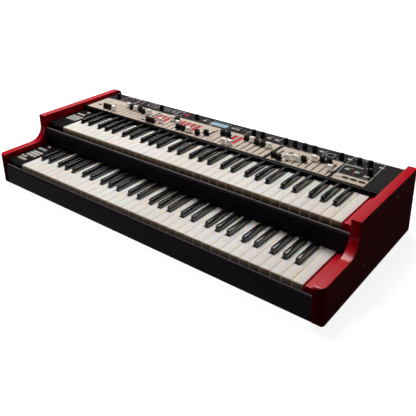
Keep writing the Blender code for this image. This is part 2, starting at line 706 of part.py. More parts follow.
def white_outline(start, index, last_c):
    """Plan outline of a white key. Its sides step in beside the sharps, save on the top C."""
    left = index * WHITE_PITCH + WHITE_GAP / 2
    right = (index + 1) * WHITE_PITCH - WHITE_GAP / 2
    tail_left, tail_right = left, right
    room = SHARP_WIDTH / 2 + SHARP_CLEARANCE
    for centre in [] if last_c else sharp_centres():
        if centre - room < left < centre + room:
            tail_left = centre + room
        if centre - room < right < centre + room:
            tail_right = centre - room
    front, notch, end = 0.0, WHITE_HEAD_LENGTH - SHARP_CLEARANCE, HINGE_DISTANCE
    outline = [(left, front), (right, front)]
    if tail_right != right:
        outline += [(right, notch)]
        outline += [(tail_right, notch)]
    outline += [(tail_right, end), (tail_left, end)]
    if tail_left != left:
        outline += [(tail_left, notch)]
        outline += [(left, notch)]
    return [(start + x, y) for x, y in outline]


def white_side(front, top):
    """Side outline of the white keys: rounded front edge, skirt, flat underside."""
    centre = (front + WHITE_FRONT_RADIUS, top - WHITE_FRONT_RADIUS)
    skirt = top - WHITE_SKIRT_HEIGHT
    under = top - WHITE_BODY_HEIGHT
    end = front + HINGE_DISTANCE + CUT_PAST
    return arc(centre, WHITE_FRONT_RADIUS, 180, 90, KEY_EDGE_STEPS) + [
        (end, top), (end, under), (front + WHITE_SKIRT_WALL, under),
        (front + WHITE_SKIRT_WALL, skirt), (front, skirt),
    ]


def make_white_combs(manual, front, top, finish):
    """Five octave combs. The fifth also carries the top C. Each turns on the hinge line in its spine.

    The spine joins the keys' upper halves, so that the sharps' shafts pass below it.
    """
    hinge_z = top - WHITE_BODY_HEIGHT + WHITE_SPINE_LIFT + SPINE_HEIGHT / 2
    for octave in range(OCTAVES):
        name = f"{manual}_white_comb_{octave + 1}"
        start = KEYS_LEFT + octave * WHITES_PER_OCTAVE * WHITE_PITCH
        keys = [(index, False) for index in range(WHITES_PER_OCTAVE)]
        if octave == OCTAVES - 1:
            keys.append((WHITES_PER_OCTAVE, True))
        outlines = [white_outline(start, index, last_c) for index, last_c in keys]
        outlines = [[(x, front + y) for x, y in outline] for outline in outlines]
        end = start + len(keys) * WHITE_PITCH
        hinge = (start, front + HINGE_DISTANCE, hinge_z)
        plan = prism_mesh(name, outlines, "XY", top - WHITE_SKIRT_HEIGHT - CUT_PAST, top + CUT_PAST)
        comb = add_part(name, plan, finish, hinge)
        side = prism_mesh(f"{name}_side", [white_side(front, top)], "YZ", start - CUT_PAST, end + CUT_PAST)
        boolean(comb, add_cutter(f"{name}_side", side), "INTERSECT")
        spine = blocks_mesh(f"{name}_spine", [(
            (start + WHITE_GAP / 2, hinge[1] - SPINE_DEPTH / 2, hinge[2] - SPINE_HEIGHT / 2),
            (end - WHITE_GAP / 2, hinge[1] + SPINE_DEPTH / 2, hinge[2] + SPINE_HEIGHT / 2),
        )])
        boolean(comb, add_cutter(f"{name}_spine", spine), "UNION")


def make_sharp_comb(manual, front, top, finish):
    """All the sharps of a manual. Their shafts pass under the white spine to a spine of their own."""
    name = f"{manual}_sharp_comb"
    under = top - WHITE_BODY_HEIGHT
    hinge_y = front + SHARP_HINGE_DISTANCE
    hinge_z = under + SPINE_HEIGHT / 2
    centres = [
        KEYS_LEFT + octave * WHITES_PER_OCTAVE * WHITE_PITCH + centre
        for octave in range(OCTAVES) for centre in sharp_centres()
    ]
    half = SHARP_SHAFT_WIDTH / 2
    low = under + SHARP_SHAFT_LIFT
    spine = blocks_mesh(name, [(
        (centres[0] - half, hinge_y - SPINE_DEPTH / 2, under),
        (centres[-1] + half, hinge_y + SPINE_DEPTH / 2, under + SPINE_HEIGHT),
    )])
    comb = add_part(name, spine, finish, (KEYS_LEFT, hinge_y, hinge_z))
    start = front + WHITE_HEAD_LENGTH
    end = start + SHARP_LENGTH
    rear = hinge_y + SPINE_DEPTH / 4
    shafts, caps = bmesh.new(), bmesh.new()
    for centre in centres:
        corner = (centre + half, rear, low + SHARP_SHAFT_HEIGHT)
        block(shafts, (centre - half, end - SPINE_DEPTH, low), corner)
        corner = (centre + SHARP_WIDTH / 2, end, top + SHARP_HEIGHT)
        block(caps, (centre - SHARP_WIDTH / 2, start, under), corner, top_width=SHARP_TOP_WIDTH,
              front_slope=SHARP_FRONT_SLOPE)
    boolean(comb, add_cutter(f"{name}_shafts", finished(shafts, f"{name}_shafts")), "UNION")
    boolean(comb, add_cutter(f"{name}_caps", finished(caps, f"{name}_caps")), "UNION")


def make_keybed(manual, front, top, left, right, standing, finish):
    """A folded deck under the keys. The lower one stands on the pan, the upper one hangs on the cheeks."""
    deck = top - DECK_BELOW_KEYS
    near = front + DECK_FRONT
    far = front + KEYS_END + DECK_BEHIND_KEYS
    foot = (PAN_TOP + SEAT_GAP) if standing else deck - UPPER_DECK_SIDE
    profile = [(near + FLANGE, foot), (near, foot), (near, deck)]
    profile += [(far, deck), (far, foot), (far - FLANGE, foot)]
    keybed = folded_sheet(f"{manual}_keybed", profile, left, right, SHEET, finish)
    key_under = top - WHITE_BODY_HEIGHT
    rail_front = front + HINGE_DISTANCE - SPINE_DEPTH / 2
    rail_rear = front + KEYS_END
    past = SHEET / 2
    stop_dip = KEY_DIP * (HINGE_DISTANCE - DECK_FRONT) / HINGE_DISTANCE
    bars = [
        ((left, rail_front, deck - past), (right, rail_rear, key_under - SEAT_GAP)),
        ((left, near + past, deck - past), (right, near + FLANGE, key_under - stop_dip - KEY_STOP_GAP)),
    ]
    boolean(keybed, add_cutter(f"{manual}_keybed_bars", blocks_mesh(f"{manual}_keybed_bars", bars)), "UNION")
    return keybed


def knob_mesh():
    """A tall cap on a wider skirt, with its shaft below and a raised pointer line on top."""
    base = PANEL_TOP + KNOB_PANEL_GAP
    top = base + KNOB_HEIGHT
    skirt = base + KNOB_SKIRT_HEIGHT
    foot = PANEL_BOARD_TOP + SEAT_GAP
    profile = [
        (0.0, top), (KNOB_RADIUS - KNOB_EDGE, top), (KNOB_RADIUS, top - KNOB_EDGE),
        (KNOB_RADIUS, skirt + KNOB_EDGE), (KNOB_SKIRT_RADIUS, skirt), (KNOB_SKIRT_RADIUS, base),
        (SHAFT_RADIUS, base), (SHAFT_RADIUS, foot), (0.0, foot),
    ]
    cap = bpy.data.objects.new("knob_cap", turned_mesh("knob_cap", profile, KNOB_SIDES))
    bpy.context.scene.collection.objects.link(cap)
    low = (-POINTER_WIDTH / 2, 0.0, top - KNOB_EDGE)
    high = (POINTER_WIDTH / 2, KNOB_RADIUS - KNOB_EDGE, top + POINTER_HEIGHT)
    pointer = add_cutter("knob_pointer", blocks_mesh("knob_pointer", [(low, high)]))
    boolean(cap, pointer, "UNION")
    mesh = evaluated_mesh(cap)
    bpy.data.objects.remove(cap, do_unlink=True)
    return mesh


def make_knobs(finish):
    mesh = knob_mesh()
    for count, (x, y) in enumerate(knob_points(), 1):
        knob = add_part(f"knob_{count:02d}", mesh.copy(), finish)
        knob.location = (x, y, 0.0)
        shade_round(knob)


def flared_cap(shape, x, y):
    """A drawbar's cap: a wide foot, a waist and a broader top, drawn up from the foot in steps."""
    low = PANEL_TOP + CAP_PANEL_GAP
    half_width, half_depth = CAP_WIDTH / 2, CAP_DEPTH / 2
    foot_top = low + CAP_FOOT_HEIGHT
    corners = block(shape, (x - half_width, y - half_depth, low), (x + half_width, y + half_depth, foot_top))
    sides = {face for corner in corners for face in corner.link_faces}
    lid = max(sides, key=lambda face: face.calc_center_median().z)
    sections = (
        (foot_top, low + CAP_WAIST_HEIGHT, CAP_WAIST_WIDTH, CAP_WAIST_DEPTH),
        (low + CAP_WAIST_HEIGHT, low + CAP_HEIGHT, CAP_TOP_WIDTH, CAP_TOP_DEPTH),
    )
    for start, end, width, depth in sections:
        drawn = bmesh.ops.extrude_discrete_faces(shape, faces=[lid])["faces"]
        lid = drawn[0]
        for corner in lid.verts:
            corner.co.x = x + math.copysign(width / 2, corner.co.x - x)
            corner.co.y = y + math.copysign(depth / 2, corner.co.y - y)
            corner.co.z += end - start


def drawbar_parts(name, places):
    """Cap, stem and slider meshes for drawbars at the given points, as three meshes of separate solids."""
    slider_low = PANEL_BOARD_TOP + SEAT_GAP
    slider_high = slider_low + SLIDER_HEIGHT
    stem_high = PANEL_TOP + CAP_PANEL_GAP + CAP_HEIGHT / 2
    caps = bmesh.new()
    for x, y in places:
        flared_cap(caps, x, y)
    meshes = [finished(caps, f"{name}_caps")]
    pieces = (
        ("stems", STEM_WIDTH, STEM_DEPTH, slider_high - SLIDER_HEIGHT / 2, stem_high),
        ("sliders", SLIDER_WIDTH, SLIDER_DEPTH, slider_low, slider_high),
    )
    for kind, width, depth, low, high in pieces:
        shape = bmesh.new()
        for x, y in places:
            block(shape, (x - width / 2, y - depth / 2, low), (x + width / 2, y + depth / 2, high))
        meshes.append(finished(shape, f"{name}_{kind}"))
    return meshes


def make_sliding_drawbar(name, x, y, finish):
    """One drawbar with its origin on its own slide line."""
    caps, stems, sliders = drawbar_parts(name, [(x, y)])
    drawbar = add_part(name, stems, finish, (x, y, PANEL_TOP))
    boolean(drawbar, add_cutter(f"{name}_cap", caps), "UNION")
    boolean(drawbar, add_cutter(f"{name}_slider", sliders), "UNION")


def make_drawbar_set(name, places, finish):
    """A set of nine drawbars on their track plate, which lies on the panel board."""
    left = min(x for x, _ in places) - SLIDER_WIDTH / 2
    right = max(x for x, _ in places) + SLIDER_WIDTH / 2
    near = PANEL_FRONT + DRAWBAR_PUSHED_Y - DRAWBAR_STEPS * DRAWBAR_STEP - SLIDER_DEPTH / 2
    far = PANEL_FRONT + DRAWBAR_PUSHED_Y + SLIDER_DEPTH / 2
    low = PANEL_BOARD_TOP + SEAT_GAP
    plate = blocks_mesh(name, [((left, near, low), (right, far, low + SLIDER_HEIGHT))])
    unit = add_part(name, plate, finish)
    caps, stems, sliders = drawbar_parts(name, places)
    bpy.data.meshes.remove(sliders)
    boolean(unit, add_cutter(f"{name}_stems", stems), "UNION")
    boolean(unit, add_cutter(f"{name}_caps", caps), "UNION")


def make_drawbars(black, white):
    groups = {}
    for index, x, y, _ in drawbar_places():
        groups.setdefault(index, []).append((x, y))
    for index in range(STATIC_SETS):
        make_drawbar_set(f"drawbar_set_{index + 1}", groups[index], black)
    for count, ((x, y), colour) in enumerate(zip(groups[STATIC_SETS], DRAWBAR_COLOURS), 1):
        make_sliding_drawbar(f"drawbar_{count}", x, y, white if colour == "w" else black)
    for count, (x, y) in enumerate(groups[len(DRAWBAR_SETTINGS)], 1):
        make_sliding_drawbar(f"bass_drawbar_{count}", x, y, black)


def make_panel_board(finish):
    """The board that hangs on the panel's studs. Knob shafts and drawbar sliders stand on it."""
    low = (INNER_LEFT + PANEL_BOARD_SIDE, PANEL_FRONT + PANEL_BOARD_FRONT, PANEL_BOARD_TOP - BOARD)
    high = (INNER_RIGHT - PANEL_BOARD_SIDE, REAR_FACE - PANEL_BOARD_TO_REAR, PANEL_BOARD_TOP)
    add_part("panel_board", blocks_mesh("panel_board", [(low, high)]), finish)


def jack_places():
    """X of each jack socket, on the main board."""
    first = INNER_LEFT + MAIN_BOARD_LEFT + MAIN_BOARD_WIDTH / 2 - (JACK_COUNT - 1) * JACK_PITCH / 2
    return [first + count * JACK_PITCH for count in range(JACK_COUNT)]


def make_main_board(finish):
    """The main board on its posts, with a row of jack sockets through the rear panel."""
    left = INNER_LEFT + MAIN_BOARD_LEFT
    right = left + MAIN_BOARD_WIDTH
    near, far = MAIN_BOARD_REAR - MAIN_BOARD_DEPTH, MAIN_BOARD_REAR
    low = MAIN_BOARD_TOP - BOARD
    plate = blocks_mesh("main_board", [((left, near, low), (right, far, MAIN_BOARD_TOP))])
    board = add_part("main_board", plate, finish)
    ends = (left + POST_INSET, right - POST_INSET)
    places = [(x, y) for x in ends for y in (near + POST_INSET, far - POST_INSET)]
    start = PAN_TOP + SEAT_GAP
    length = low + BOARD / 2 - start
    posts = cylinders_mesh("main_board_posts", places, POST_RADIUS, "Z", start, length, POST_SIDES)
    boolean(board, add_cutter("main_board_posts", posts), "UNION")
    half = JACK_BODY / 2
    body_front, body_rear = far - JACK_BODY_DEPTH, far - SEAT_GAP
    body_low, body_high = MAIN_BOARD_TOP - BOARD / 2, MAIN_BOARD_TOP + JACK_BODY
    bodies = [((x - half, body_front, body_low), (x + half, body_rear, body_high)) for x in jack_places()]
    boolean(board, add_cutter("jack_bodies", blocks_mesh("jack_bodies", bodies)), "UNION")
    bore_z = MAIN_BOARD_TOP + half
    points = [(x, bore_z) for x in jack_places()]
    length = SHEET + BUSH_LENGTH
    bushes = cylinders_mesh("jack_bushes", points, BUSH_RADIUS, "Y", far - SHEET, length, BUSH_SIDES)
    boolean(board, add_cutter("jack_bushes", bushes), "UNION")
    start = far + BUSH_LENGTH - JACK_BORE_DEPTH
    length = JACK_BORE_DEPTH + CUT_PAST
    bores = cylinders_mesh("jack_bores", points, JACK_BORE_RADIUS, "Y", start, length, HOLE_SIDES)
    boolean(board, add_cutter("jack_bores", bores), "DIFFERENCE")


def supply_box():
    right = INNER_RIGHT - SUPPLY_RIGHT
    low = (right - SUPPLY_WIDTH, MAIN_BOARD_REAR - SUPPLY_DEPTH, PAN_TOP + SEAT_GAP)
    return low, (right, MAIN_BOARD_REAR, low[2] + SUPPLY_HEIGHT)


def inlet_box(grow=0.0):
    """The mains inlet's outside: it passes through the rear panel."""
    low, high = supply_box()
    middle = (low[0] + high[0]) / 2
    start = low[2] + INLET_RISE
    return (
        (middle - INLET_WIDTH / 2 - grow, high[1] - INLET_DEPTH, start - grow),
        (middle + INLET_WIDTH / 2 + grow, REAR_FACE + SHEET, start + INLET_HEIGHT + grow),
    )


def make_power_supply(finish):
    """A closed metal box with the inlet socket in its rear face."""
    supply = add_part("power_supply", blocks_mesh("power_supply", [supply_box()]), finish)
    low, high = inlet_box()
    boolean(supply, add_cutter("inlet_shell", blocks_mesh("inlet_shell", [(low, high)])), "UNION")
    hollow = (
        (low[0] + INLET_WALL, low[1], low[2] + INLET_WALL),
        (high[0] - INLET_WALL, high[1] + CUT_PAST, high[2] - INLET_WALL),
    )
    boolean(supply, add_cutter("inlet_hollow", blocks_mesh("inlet_hollow", [hollow])), "DIFFERENCE")


def make_rear_panel(finish):
    left, right = INNER_LEFT + SEAT_GAP, INNER_RIGHT - SEAT_GAP
    top = PANEL_UNDER - SEAT_GAP
    profile = [(REAR_FACE - REAR_FLANGE, top), (REAR_FACE, top), (REAR_FACE, PAN_UNDER)]
    panel = folded_sheet("rear_panel", profile, left, right, SHEET, finish)
    bore_z = MAIN_BOARD_TOP + JACK_BODY / 2
    points = [(x, bore_z) for x in jack_places()]
    radius = BUSH_RADIUS + REAR_CUT_CLEARANCE / 2
    start = REAR_FACE - FLANGE / 2
    holes = cylinders_mesh("jack_hole_cutter", points, radius, "Y", start, FLANGE, BUSH_SIDES)
    boolean(panel, add_cutter("jack_hole_cutter", holes), "DIFFERENCE")
    low, high = inlet_box(REAR_CUT_CLEARANCE)
    window = blocks_mesh("inlet_cutter", [((low[0], start, low[2]), (high[0], start + FLANGE, high[2]))])
    boolean(panel, add_cutter("inlet_cutter", window), "DIFFERENCE")


def build():
    clear_scene()
    collection(PARTS)
    collection(CUTTERS, rendered=False)
    red = material("red_lacquer", (0.52, 0.020, 0.035), 0.35)
    black = material("black_enamel", (0.010, 0.009, 0.011), 0.45)
    charcoal = material("charcoal_panel", (0.035, 0.032, 0.035), 0.5)
    ivory = material("ivory_plastic", (0.78, 0.74, 0.69), 0.3)
    ebony = material("ebony_plastic", (0.012, 0.012, 0.013), 0.25)
    sheet_metal = material("aluminium_sheet", (0.55, 0.56, 0.57), 0.4, 1.0)
    rubber = material("black_rubber", (0.02, 0.02, 0.02), 0.8)
    board_green = material("board_green", (0.02, 0.16, 0.07), 0.5)
    glass = material("display_glass", (0.25, 0.45, 0.60), 0.1)

    make_cheek("left_cheek", -1.0, red)
    make_cheek("right_cheek", 1.0, red)
    make_bottom_pan(sheet_metal)
    make_feet(rubber)
    make_rails(black)
    make_rear_panel(black)
    make_control_panel(charcoal)
    make_display(glass)
    make_end_blocks(black, red)
    for manual, front, top in (("lower", LOWER_FRONT, LOWER_TOP), ("upper", UPPER_FRONT, UPPER_TOP)):
        standing = manual == "lower"
        inset = 2 * SEAT_GAP + SHEET if standing else SEAT_GAP
        make_keybed(manual, front, top, INNER_LEFT + inset, INNER_RIGHT - inset, standing, sheet_metal)
        make_white_combs(manual, front, top, ivory)
        make_sharp_comb(manual, front, top, ebony)
    make_knobs(ebony)
    make_drawbars(ebony, ivory)
    make_panel_board(board_green)
    make_main_board(board_green)
    make_power_supply(sheet_metal)


build()
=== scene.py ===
# %% [markdown]
# # Dressing a two-manual combo organ
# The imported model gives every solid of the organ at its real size: the case, the key combs, the knobs
# and the drawbars. This notebook gives each of them its finish, and rebuilds the pieces whose edges
# show most, such as keys, drawbar caps and knobs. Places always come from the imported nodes, so a new
# piece lands exactly where the solid lies.

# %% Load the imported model
import math

import bmesh
import bpy
from mathutils import Matrix, Vector


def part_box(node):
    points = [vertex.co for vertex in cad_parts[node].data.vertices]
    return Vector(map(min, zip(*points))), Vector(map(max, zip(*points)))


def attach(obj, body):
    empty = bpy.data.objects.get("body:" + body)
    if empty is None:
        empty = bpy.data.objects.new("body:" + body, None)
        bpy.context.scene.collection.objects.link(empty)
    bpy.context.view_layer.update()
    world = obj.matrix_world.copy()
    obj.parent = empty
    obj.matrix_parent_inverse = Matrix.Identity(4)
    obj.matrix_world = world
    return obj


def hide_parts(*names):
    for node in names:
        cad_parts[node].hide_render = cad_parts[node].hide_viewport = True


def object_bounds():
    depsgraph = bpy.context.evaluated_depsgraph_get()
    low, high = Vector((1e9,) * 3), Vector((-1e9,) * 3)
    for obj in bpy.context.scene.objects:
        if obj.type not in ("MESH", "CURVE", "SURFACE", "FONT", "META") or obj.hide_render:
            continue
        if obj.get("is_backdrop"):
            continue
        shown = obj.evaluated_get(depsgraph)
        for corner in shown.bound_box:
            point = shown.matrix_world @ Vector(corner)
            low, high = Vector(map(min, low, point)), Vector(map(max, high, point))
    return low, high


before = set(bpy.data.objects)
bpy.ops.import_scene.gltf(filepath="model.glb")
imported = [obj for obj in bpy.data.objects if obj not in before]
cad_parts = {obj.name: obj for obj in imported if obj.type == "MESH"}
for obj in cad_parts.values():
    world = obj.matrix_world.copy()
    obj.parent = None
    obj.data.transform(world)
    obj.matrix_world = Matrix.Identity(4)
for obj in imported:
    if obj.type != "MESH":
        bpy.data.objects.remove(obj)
CAD_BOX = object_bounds()

# %% [markdown]
# ## Places that everything is measured from
# Organ builders count along a manual in white keys, so this script does too. The left edge of the
# first key, the front of each manual and the panel's face are read from the nodes. The sizes of one
# key, cap or knob are the only ones written down.

# %% Reference places
WHITE_PITCH = 0.0235
WHITE_GAP = 0.001
OCTAVES = 5
WHITES_PER_OCTAVE = 7
OCTAVE_WIDTH = WHITES_PER_OCTAVE * WHITE_PITCH
FIRST_COMBS = {manual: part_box(f"{manual}_white_comb_1") for manual in ("lower", "upper")}
# Front and top of the white keys of each manual
MANUALS = {manual: (low.y, high.z) for manual, (low, high) in FIRST_COMBS.items()}
KEYS_LEFT = FIRST_COMBS["lower"][0].x - WHITE_GAP / 2
LOWER_FRONT, LOWER_TOP = MANUALS["lower"]
UPPER_FRONT = MANUALS["upper"][0]
PANEL_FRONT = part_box("control_panel")[0].y
PANEL_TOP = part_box("display_lens")[1].z
REAR_PANEL_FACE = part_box("rear_panel")[1].y
INNER_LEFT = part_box("left_cheek")[1].x


def on_panel(key, behind):
    """X and Y of a point on the panel: white keys from the left, metres behind the panel's front."""
    return KEYS_LEFT + key * WHITE_PITCH, PANEL_FRONT + behind


def plan_middle(node):
    """X and Y of the middle of a node."""
    low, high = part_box(node)
    return (low.x + high.x) / 2, (low.y + high.y) / 2


print(f"keys start at {KEYS_LEFT:.4f}, the panel is {REAR_PANEL_FACE - PANEL_FRONT:.4f} m deep")

# %% [markdown]
# ## The camera
# The photograph looks down on the organ from its front right. The camera stands where a long lens
# has to stand for the key rows to converge as they do there. It could be aimed with a Track To
# constraint, but a matrix keeps the small roll as well. The lens is given by its focal length in
# pixels of a 416-pixel picture, and a small vertical shift puts the case where the picture has it.

# %% Camera
IMAGE_SIZE = 416
SENSOR_WIDTH = 36.0
FOCAL_PIXELS = 579.4
CENTRE_ROW = 140.0
CAMERA_TURN = math.radians(38.69)
CAMERA_TILT = math.radians(22.98)
CAMERA_ROLL = math.radians(-0.93)
CAMERA_FROM_KEYS = Vector((1.2523, -0.7742, 0.6509))


def new_object(name, data):
    """An object that holds some data, put into the scene."""
    made = bpy.data.objects.new(name, data)
    bpy.context.scene.collection.objects.link(made)
    return made


level = Vector((math.cos(CAMERA_TURN), math.sin(CAMERA_TURN), 0.0))
tilted = Vector((0.0, -math.cos(CAMERA_TILT), math.sin(CAMERA_TILT)))
backwards = Matrix.Rotation(CAMERA_TURN, 3, "Z") @ tilted
roll = Matrix.Rotation(CAMERA_ROLL, 3, backwards)
across = roll @ level
upwards = roll @ backwards.cross(level)
camera = new_object("camera", bpy.data.cameras.new("camera"))
camera.matrix_world = Matrix((across, upwards, backwards)).transposed().to_4x4()
camera.location = Vector((KEYS_LEFT, LOWER_FRONT, LOWER_TOP)) + CAMERA_FROM_KEYS
camera.data.sensor_width = SENSOR_WIDTH
camera.data.lens = FOCAL_PIXELS * SENSOR_WIDTH / IMAGE_SIZE
camera.data.shift_y = (CENTRE_ROW - IMAGE_SIZE / 2) / IMAGE_SIZE
bpy.context.scene.camera = camera
print(f"lens {camera.data.lens:.1f} mm, shift {camera.data.shift_y:.3f}")

# %% [markdown]
# ## Shader sums in plain Python
# A procedural finish is mostly arithmetic on positions. Wiring Math nodes by hand hides that
# arithmetic, so `Wire` holds one socket and overloads the operators: `1 - mask * 0.4` adds the two
# Math nodes. `Finish` is one material. Its `add` makes any other node from a type, its settings and
# its sockets. Colours never pass through a Wire's operators, because a Math node turns them grey.

# %% Wire: a socket that can be added, scaled and compared
def math_node(operation, swapped=False):
    """A method that puts one Math node between a wire and another value."""

    def joined(wire, other=0.0):
        first, second = (other, wire) if swapped else (wire, other)
        return wire.finish.add("Math", {"operation": operation}, {0: first, 1: second})

    return joined


class Wire:
    """One socket of a finish, holding a value that sums can use."""

    __add__ = __radd__ = math_node("ADD")
    __sub__ = math_node("SUBTRACT")
    __rsub__ = math_node("SUBTRACT", swapped=True)
    __mul__ = __rmul__ = math_node("MULTIPLY")
    __truediv__ = math_node("DIVIDE")
    __gt__ = math_node("GREATER_THAN")
    __lt__ = math_node("LESS_THAN")
    __abs__ = math_node("ABSOLUTE")
    wave = math_node("SINE")
    floor = math_node("FLOOR")

    def __init__(self, finish, socket):
        self.finish = finish
        self.socket = socket

    def between(self, low, high):
        """1 between two values, 0 outside them."""
        return (self > low) * (self < high)

    def clamped(self):
        return self.finish.add("Clamp", {}, {0: self})


print("a wire takes", ", ".join("+-*/<>"), "and abs")

# %% Finish: one material, built node by node
FINISHES = {}


class Finish:
    """A material with one Principled shader, and the name of a slot that it holds. It is kept under its
    name in FINISHES. Plain settings sit on the shader's own sockets."""

    def __init__(self, name, slot=None, **settings):
        FINISHES[name] = self
        self.slot = slot or name
        self.material = bpy.data.materials.new(name)
        self.material.use_nodes = True
        self.tree = self.material.node_tree
        self.shader = self.tree.nodes["Principled BSDF"]
        for socket, value in settings.items():
            self.feed(socket.replace("_", " "), value)

    def add(self, kind, settings, sockets, output=0):
        node = self.tree.nodes.new("ShaderNode" + kind)
        for name, value in settings.items():
            setattr(node, name, value)
        for key, value in sockets.items():
            self.join(node.inputs[key], value)
        return Wire(self, node.outputs[output])

    def join(self, socket, value):
        if isinstance(value, Wire):
            self.tree.links.new(value.socket, socket)
        else:
            socket.default_value = value

    def feed(self, socket, value):
        self.join(self.shader.inputs[socket], value)

    def place(self):
        return self.add("TexCoord", {}, {}, "Object")

    def along(self, axis):
        return self.add("SeparateXYZ", {}, {0: self.place()}, axis)

    def facing(self, axis):
        """How far a face looks along an axis, from -1 to 1."""
        return self.add("SeparateXYZ", {}, {0: self.add("NewGeometry", {}, {}, "Normal")}, axis)

    def noise(self, scale, detail=3.0, stretch=(1.0, 1.0, 1.0)):
        """Soft noise from 0 to 1, in cells per metre, drawn out along an axis by a stretch under 1."""
        turned = self.add("Mapping", {}, {"Vector": self.place(), "Scale": stretch})
        return self.add("TexNoise", {}, {"Vector": turned, "Scale": scale, "Detail": detail})

    def mix(self, factor, first, second):
        """A colour between two others."""
        settings = {"data_type": "RGBA", "clamp_factor": True}
        return self.add("Mix", settings, {0: factor, 6: first, 7: second}, 2)

    def bump(self, height, strength, distance):
        sockets = {"Strength": strength, "Distance": distance, "Height": height}
        self.feed("Normal", self.add("Bump", {}, sockets))


def tone(red, green, blue):
    """A colour read as screen values from 0 to 255, turned into the linear values that shaders take."""
    linear = []
    for value in (red, green, blue):
        share = value / 255
        linear.append(share / 12.92 if share <= 0.04045 else ((share + 0.055) / 1.055) ** 2.4)
    return (*linear, 1.0)


def scaled(colour, factor, lift=0.0):
    """A lighter or darker version of a linear colour."""
    return (*(min(1.0, part * factor + lift) for part in colour[:3]), 1.0)


BLACK = tone(0, 0, 0)
WHITE = tone(255, 255, 255)
print("darkest and lightest:", BLACK, WHITE)

# %% [markdown]
# ## Red lacquer
# The cheeks are solid wood under a satin red lacquer. What shows is a deep, even red with a broad
# sheen, a faint cloudiness where the coat lies thicker, and a skin that isn't quite flat. A clear
# coat over a rougher red base gives that double sheen better than one roughness could. The moulded
# end blocks take the same red without the wood's grain.

# %% Red finishes
LACQUER_RED = tone(204, 18, 38)
LACQUER_DEEP = tone(190, 9, 25)


def red_finish(name, grain, coat):
    """Satin red with a sheen set by face direction: faces that look up carry the full clear coat and
    upright ones almost none, so that they don't mirror the white floor as a grey veil.
    """
    finish = Finish(name, Coat_Roughness=0.25, Specular_IOR_Level=0.0)
    clouds = finish.noise(9.0, 4.0, (1.0, 0.35, 1.0))
    finish.feed("Base Color", finish.mix(clouds, LACQUER_DEEP, LACQUER_RED))
    fine = finish.noise(700.0, 2.0)
    finish.feed("Roughness", 0.36 + 0.10 * finish.noise(60.0) + 0.04 * fine)
    # Sheen set by face direction: the clear coat's weight follows how far a face looks up
    finish.feed("Coat Weight", 0.02 + coat * finish.facing("Z").clamped())
    finish.bump(fine + grain * finish.noise(260.0, 2.0, (1.0, 0.06, 1.0)), 0.10, 0.0004)


red_finish("red_lacquer", grain=1.2, coat=0.85)
red_finish("red_plastic", grain=0.0, coat=1.0)
print("red finishes:", list(FINISHES))

# %% [markdown]
# ## Black and charcoal coats
# The rails and the rear are folded sheet under satin black enamel, whose fine grain breaks up every
# reflection. The panel is charcoal with the same grain. The beige fields behind the drawbars are
# printed on it, so they belong in its colour and not in its shape: each field is a rectangle in
# white keys and metres, and its mask is a product of four comparisons.

# %% Enamel and mouldings
ENAMEL_BLACK = tone(32, 28, 33)
MOULDING_BLACK = tone(15, 13, 14)
# Painted highlight along the lip of a rail, where its top edge catches the light, and how far down from its
# top it shows
LIP_HIGHLIGHT = tone(140, 132, 132)
LIP_DEPTH = 0.0018
# Scale and detail of the coat's speckle
SPECKLE = (1500.0, 2.0)


def grained_finish(name, colour, roughness, depth, specular, slot=None):
    finish = Finish(name, slot, Specular_IOR_Level=specular)
    speckle = finish.noise(*SPECKLE)
    finish.feed("Base Color", finish.mix(speckle, colour, scaled(colour, 1.25)))
    finish.feed("Roughness", roughness + 0.12 * finish.noise(45.0) + 0.06 * speckle)
    finish.bump(speckle, depth, 0.0002)
    return finish


def rail_finish(rail):
    """Enamel with a painted highlight along the lip, where the rail's top edge catches the light."""
    finish = grained_finish(f"{rail}_enamel", ENAMEL_BLACK, 0.45, 0.10, specular=0.037, slot="black_enamel")
    # Painted highlight: the rail's top edge is painted light grey
    lit_lip = finish.along("Z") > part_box(rail)[1].z - LIP_DEPTH
    lip_highlight = lit_lip * (0.7 + 0.3 * finish.noise(80.0))
    finish.feed("Base Color", finish.mix(lip_highlight, ENAMEL_BLACK, LIP_HIGHLIGHT))


grained_finish("black_enamel", ENAMEL_BLACK, 0.40, 0.10, specular=0.05)
grained_finish("black_moulding", MOULDING_BLACK, 0.40, 0.20, specular=0.06)
RAILS = ("front_rail", "middle_rail")
for rail in RAILS:
    rail_finish(rail)
print("finishes with enamel:", len(FINISHES))

# %% The panel's coat
CHARCOAL = tone(38, 36, 36)
CHARCOAL_LIGHT = tone(47, 45, 45)
NOSE_BLACK = tone(7, 6, 7)
BEIGE = tone(204, 188, 173)
BEIGE_WORN = tone(197, 180, 164)
# Printed beige fields: left and right in white keys, front and rear in metres behind the panel's front
BEIGE_FIELDS = (
    (-2.45, 24.17, 0.0125, 0.0975),
    (24.60, 31.45, 0.0125, 0.0965),
    (31.83, 35.10, 0.0125, 0.0435),
)
NOSE_DEPTH = 0.0110


def field_mask(finish, fields):
    """1 inside any of the printed fields, 0 outside."""
    x, y = finish.along("X"), finish.along("Y")
    inside = []
    for left, right, front, rear in fields:
        low_x, low_y = on_panel(left, front)
        high_x, high_y = on_panel(right, rear)
        inside.append(x.between(low_x, high_x) * y.between(low_y, high_y))
    return sum(inside[1:], inside[0]).clamped()


def panel_finish():
    """Charcoal with beige fields, and a glossy black strip over the folded nose."""
    finish = grained_finish("charcoal_panel", CHARCOAL, 0.42, 0.12, specular=0.04)
    speckle = finish.noise(*SPECKLE)
    nose = finish.along("Y") < PANEL_FRONT + NOSE_DEPTH
    dark = finish.mix(nose, finish.mix(speckle, CHARCOAL, CHARCOAL_LIGHT), NOSE_BLACK)
    printed = finish.mix(finish.noise(25.0), BEIGE, BEIGE_WORN)
    finish.feed("Base Color", finish.mix(field_mask(finish, BEIGE_FIELDS), dark, printed))
    finish.feed("Roughness", 0.44 - 0.22 * nose + 0.08 * speckle)
    finish.feed("Coat Weight", 0.02 * nose)


panel_finish()
print("beige fields:", len(BEIGE_FIELDS))
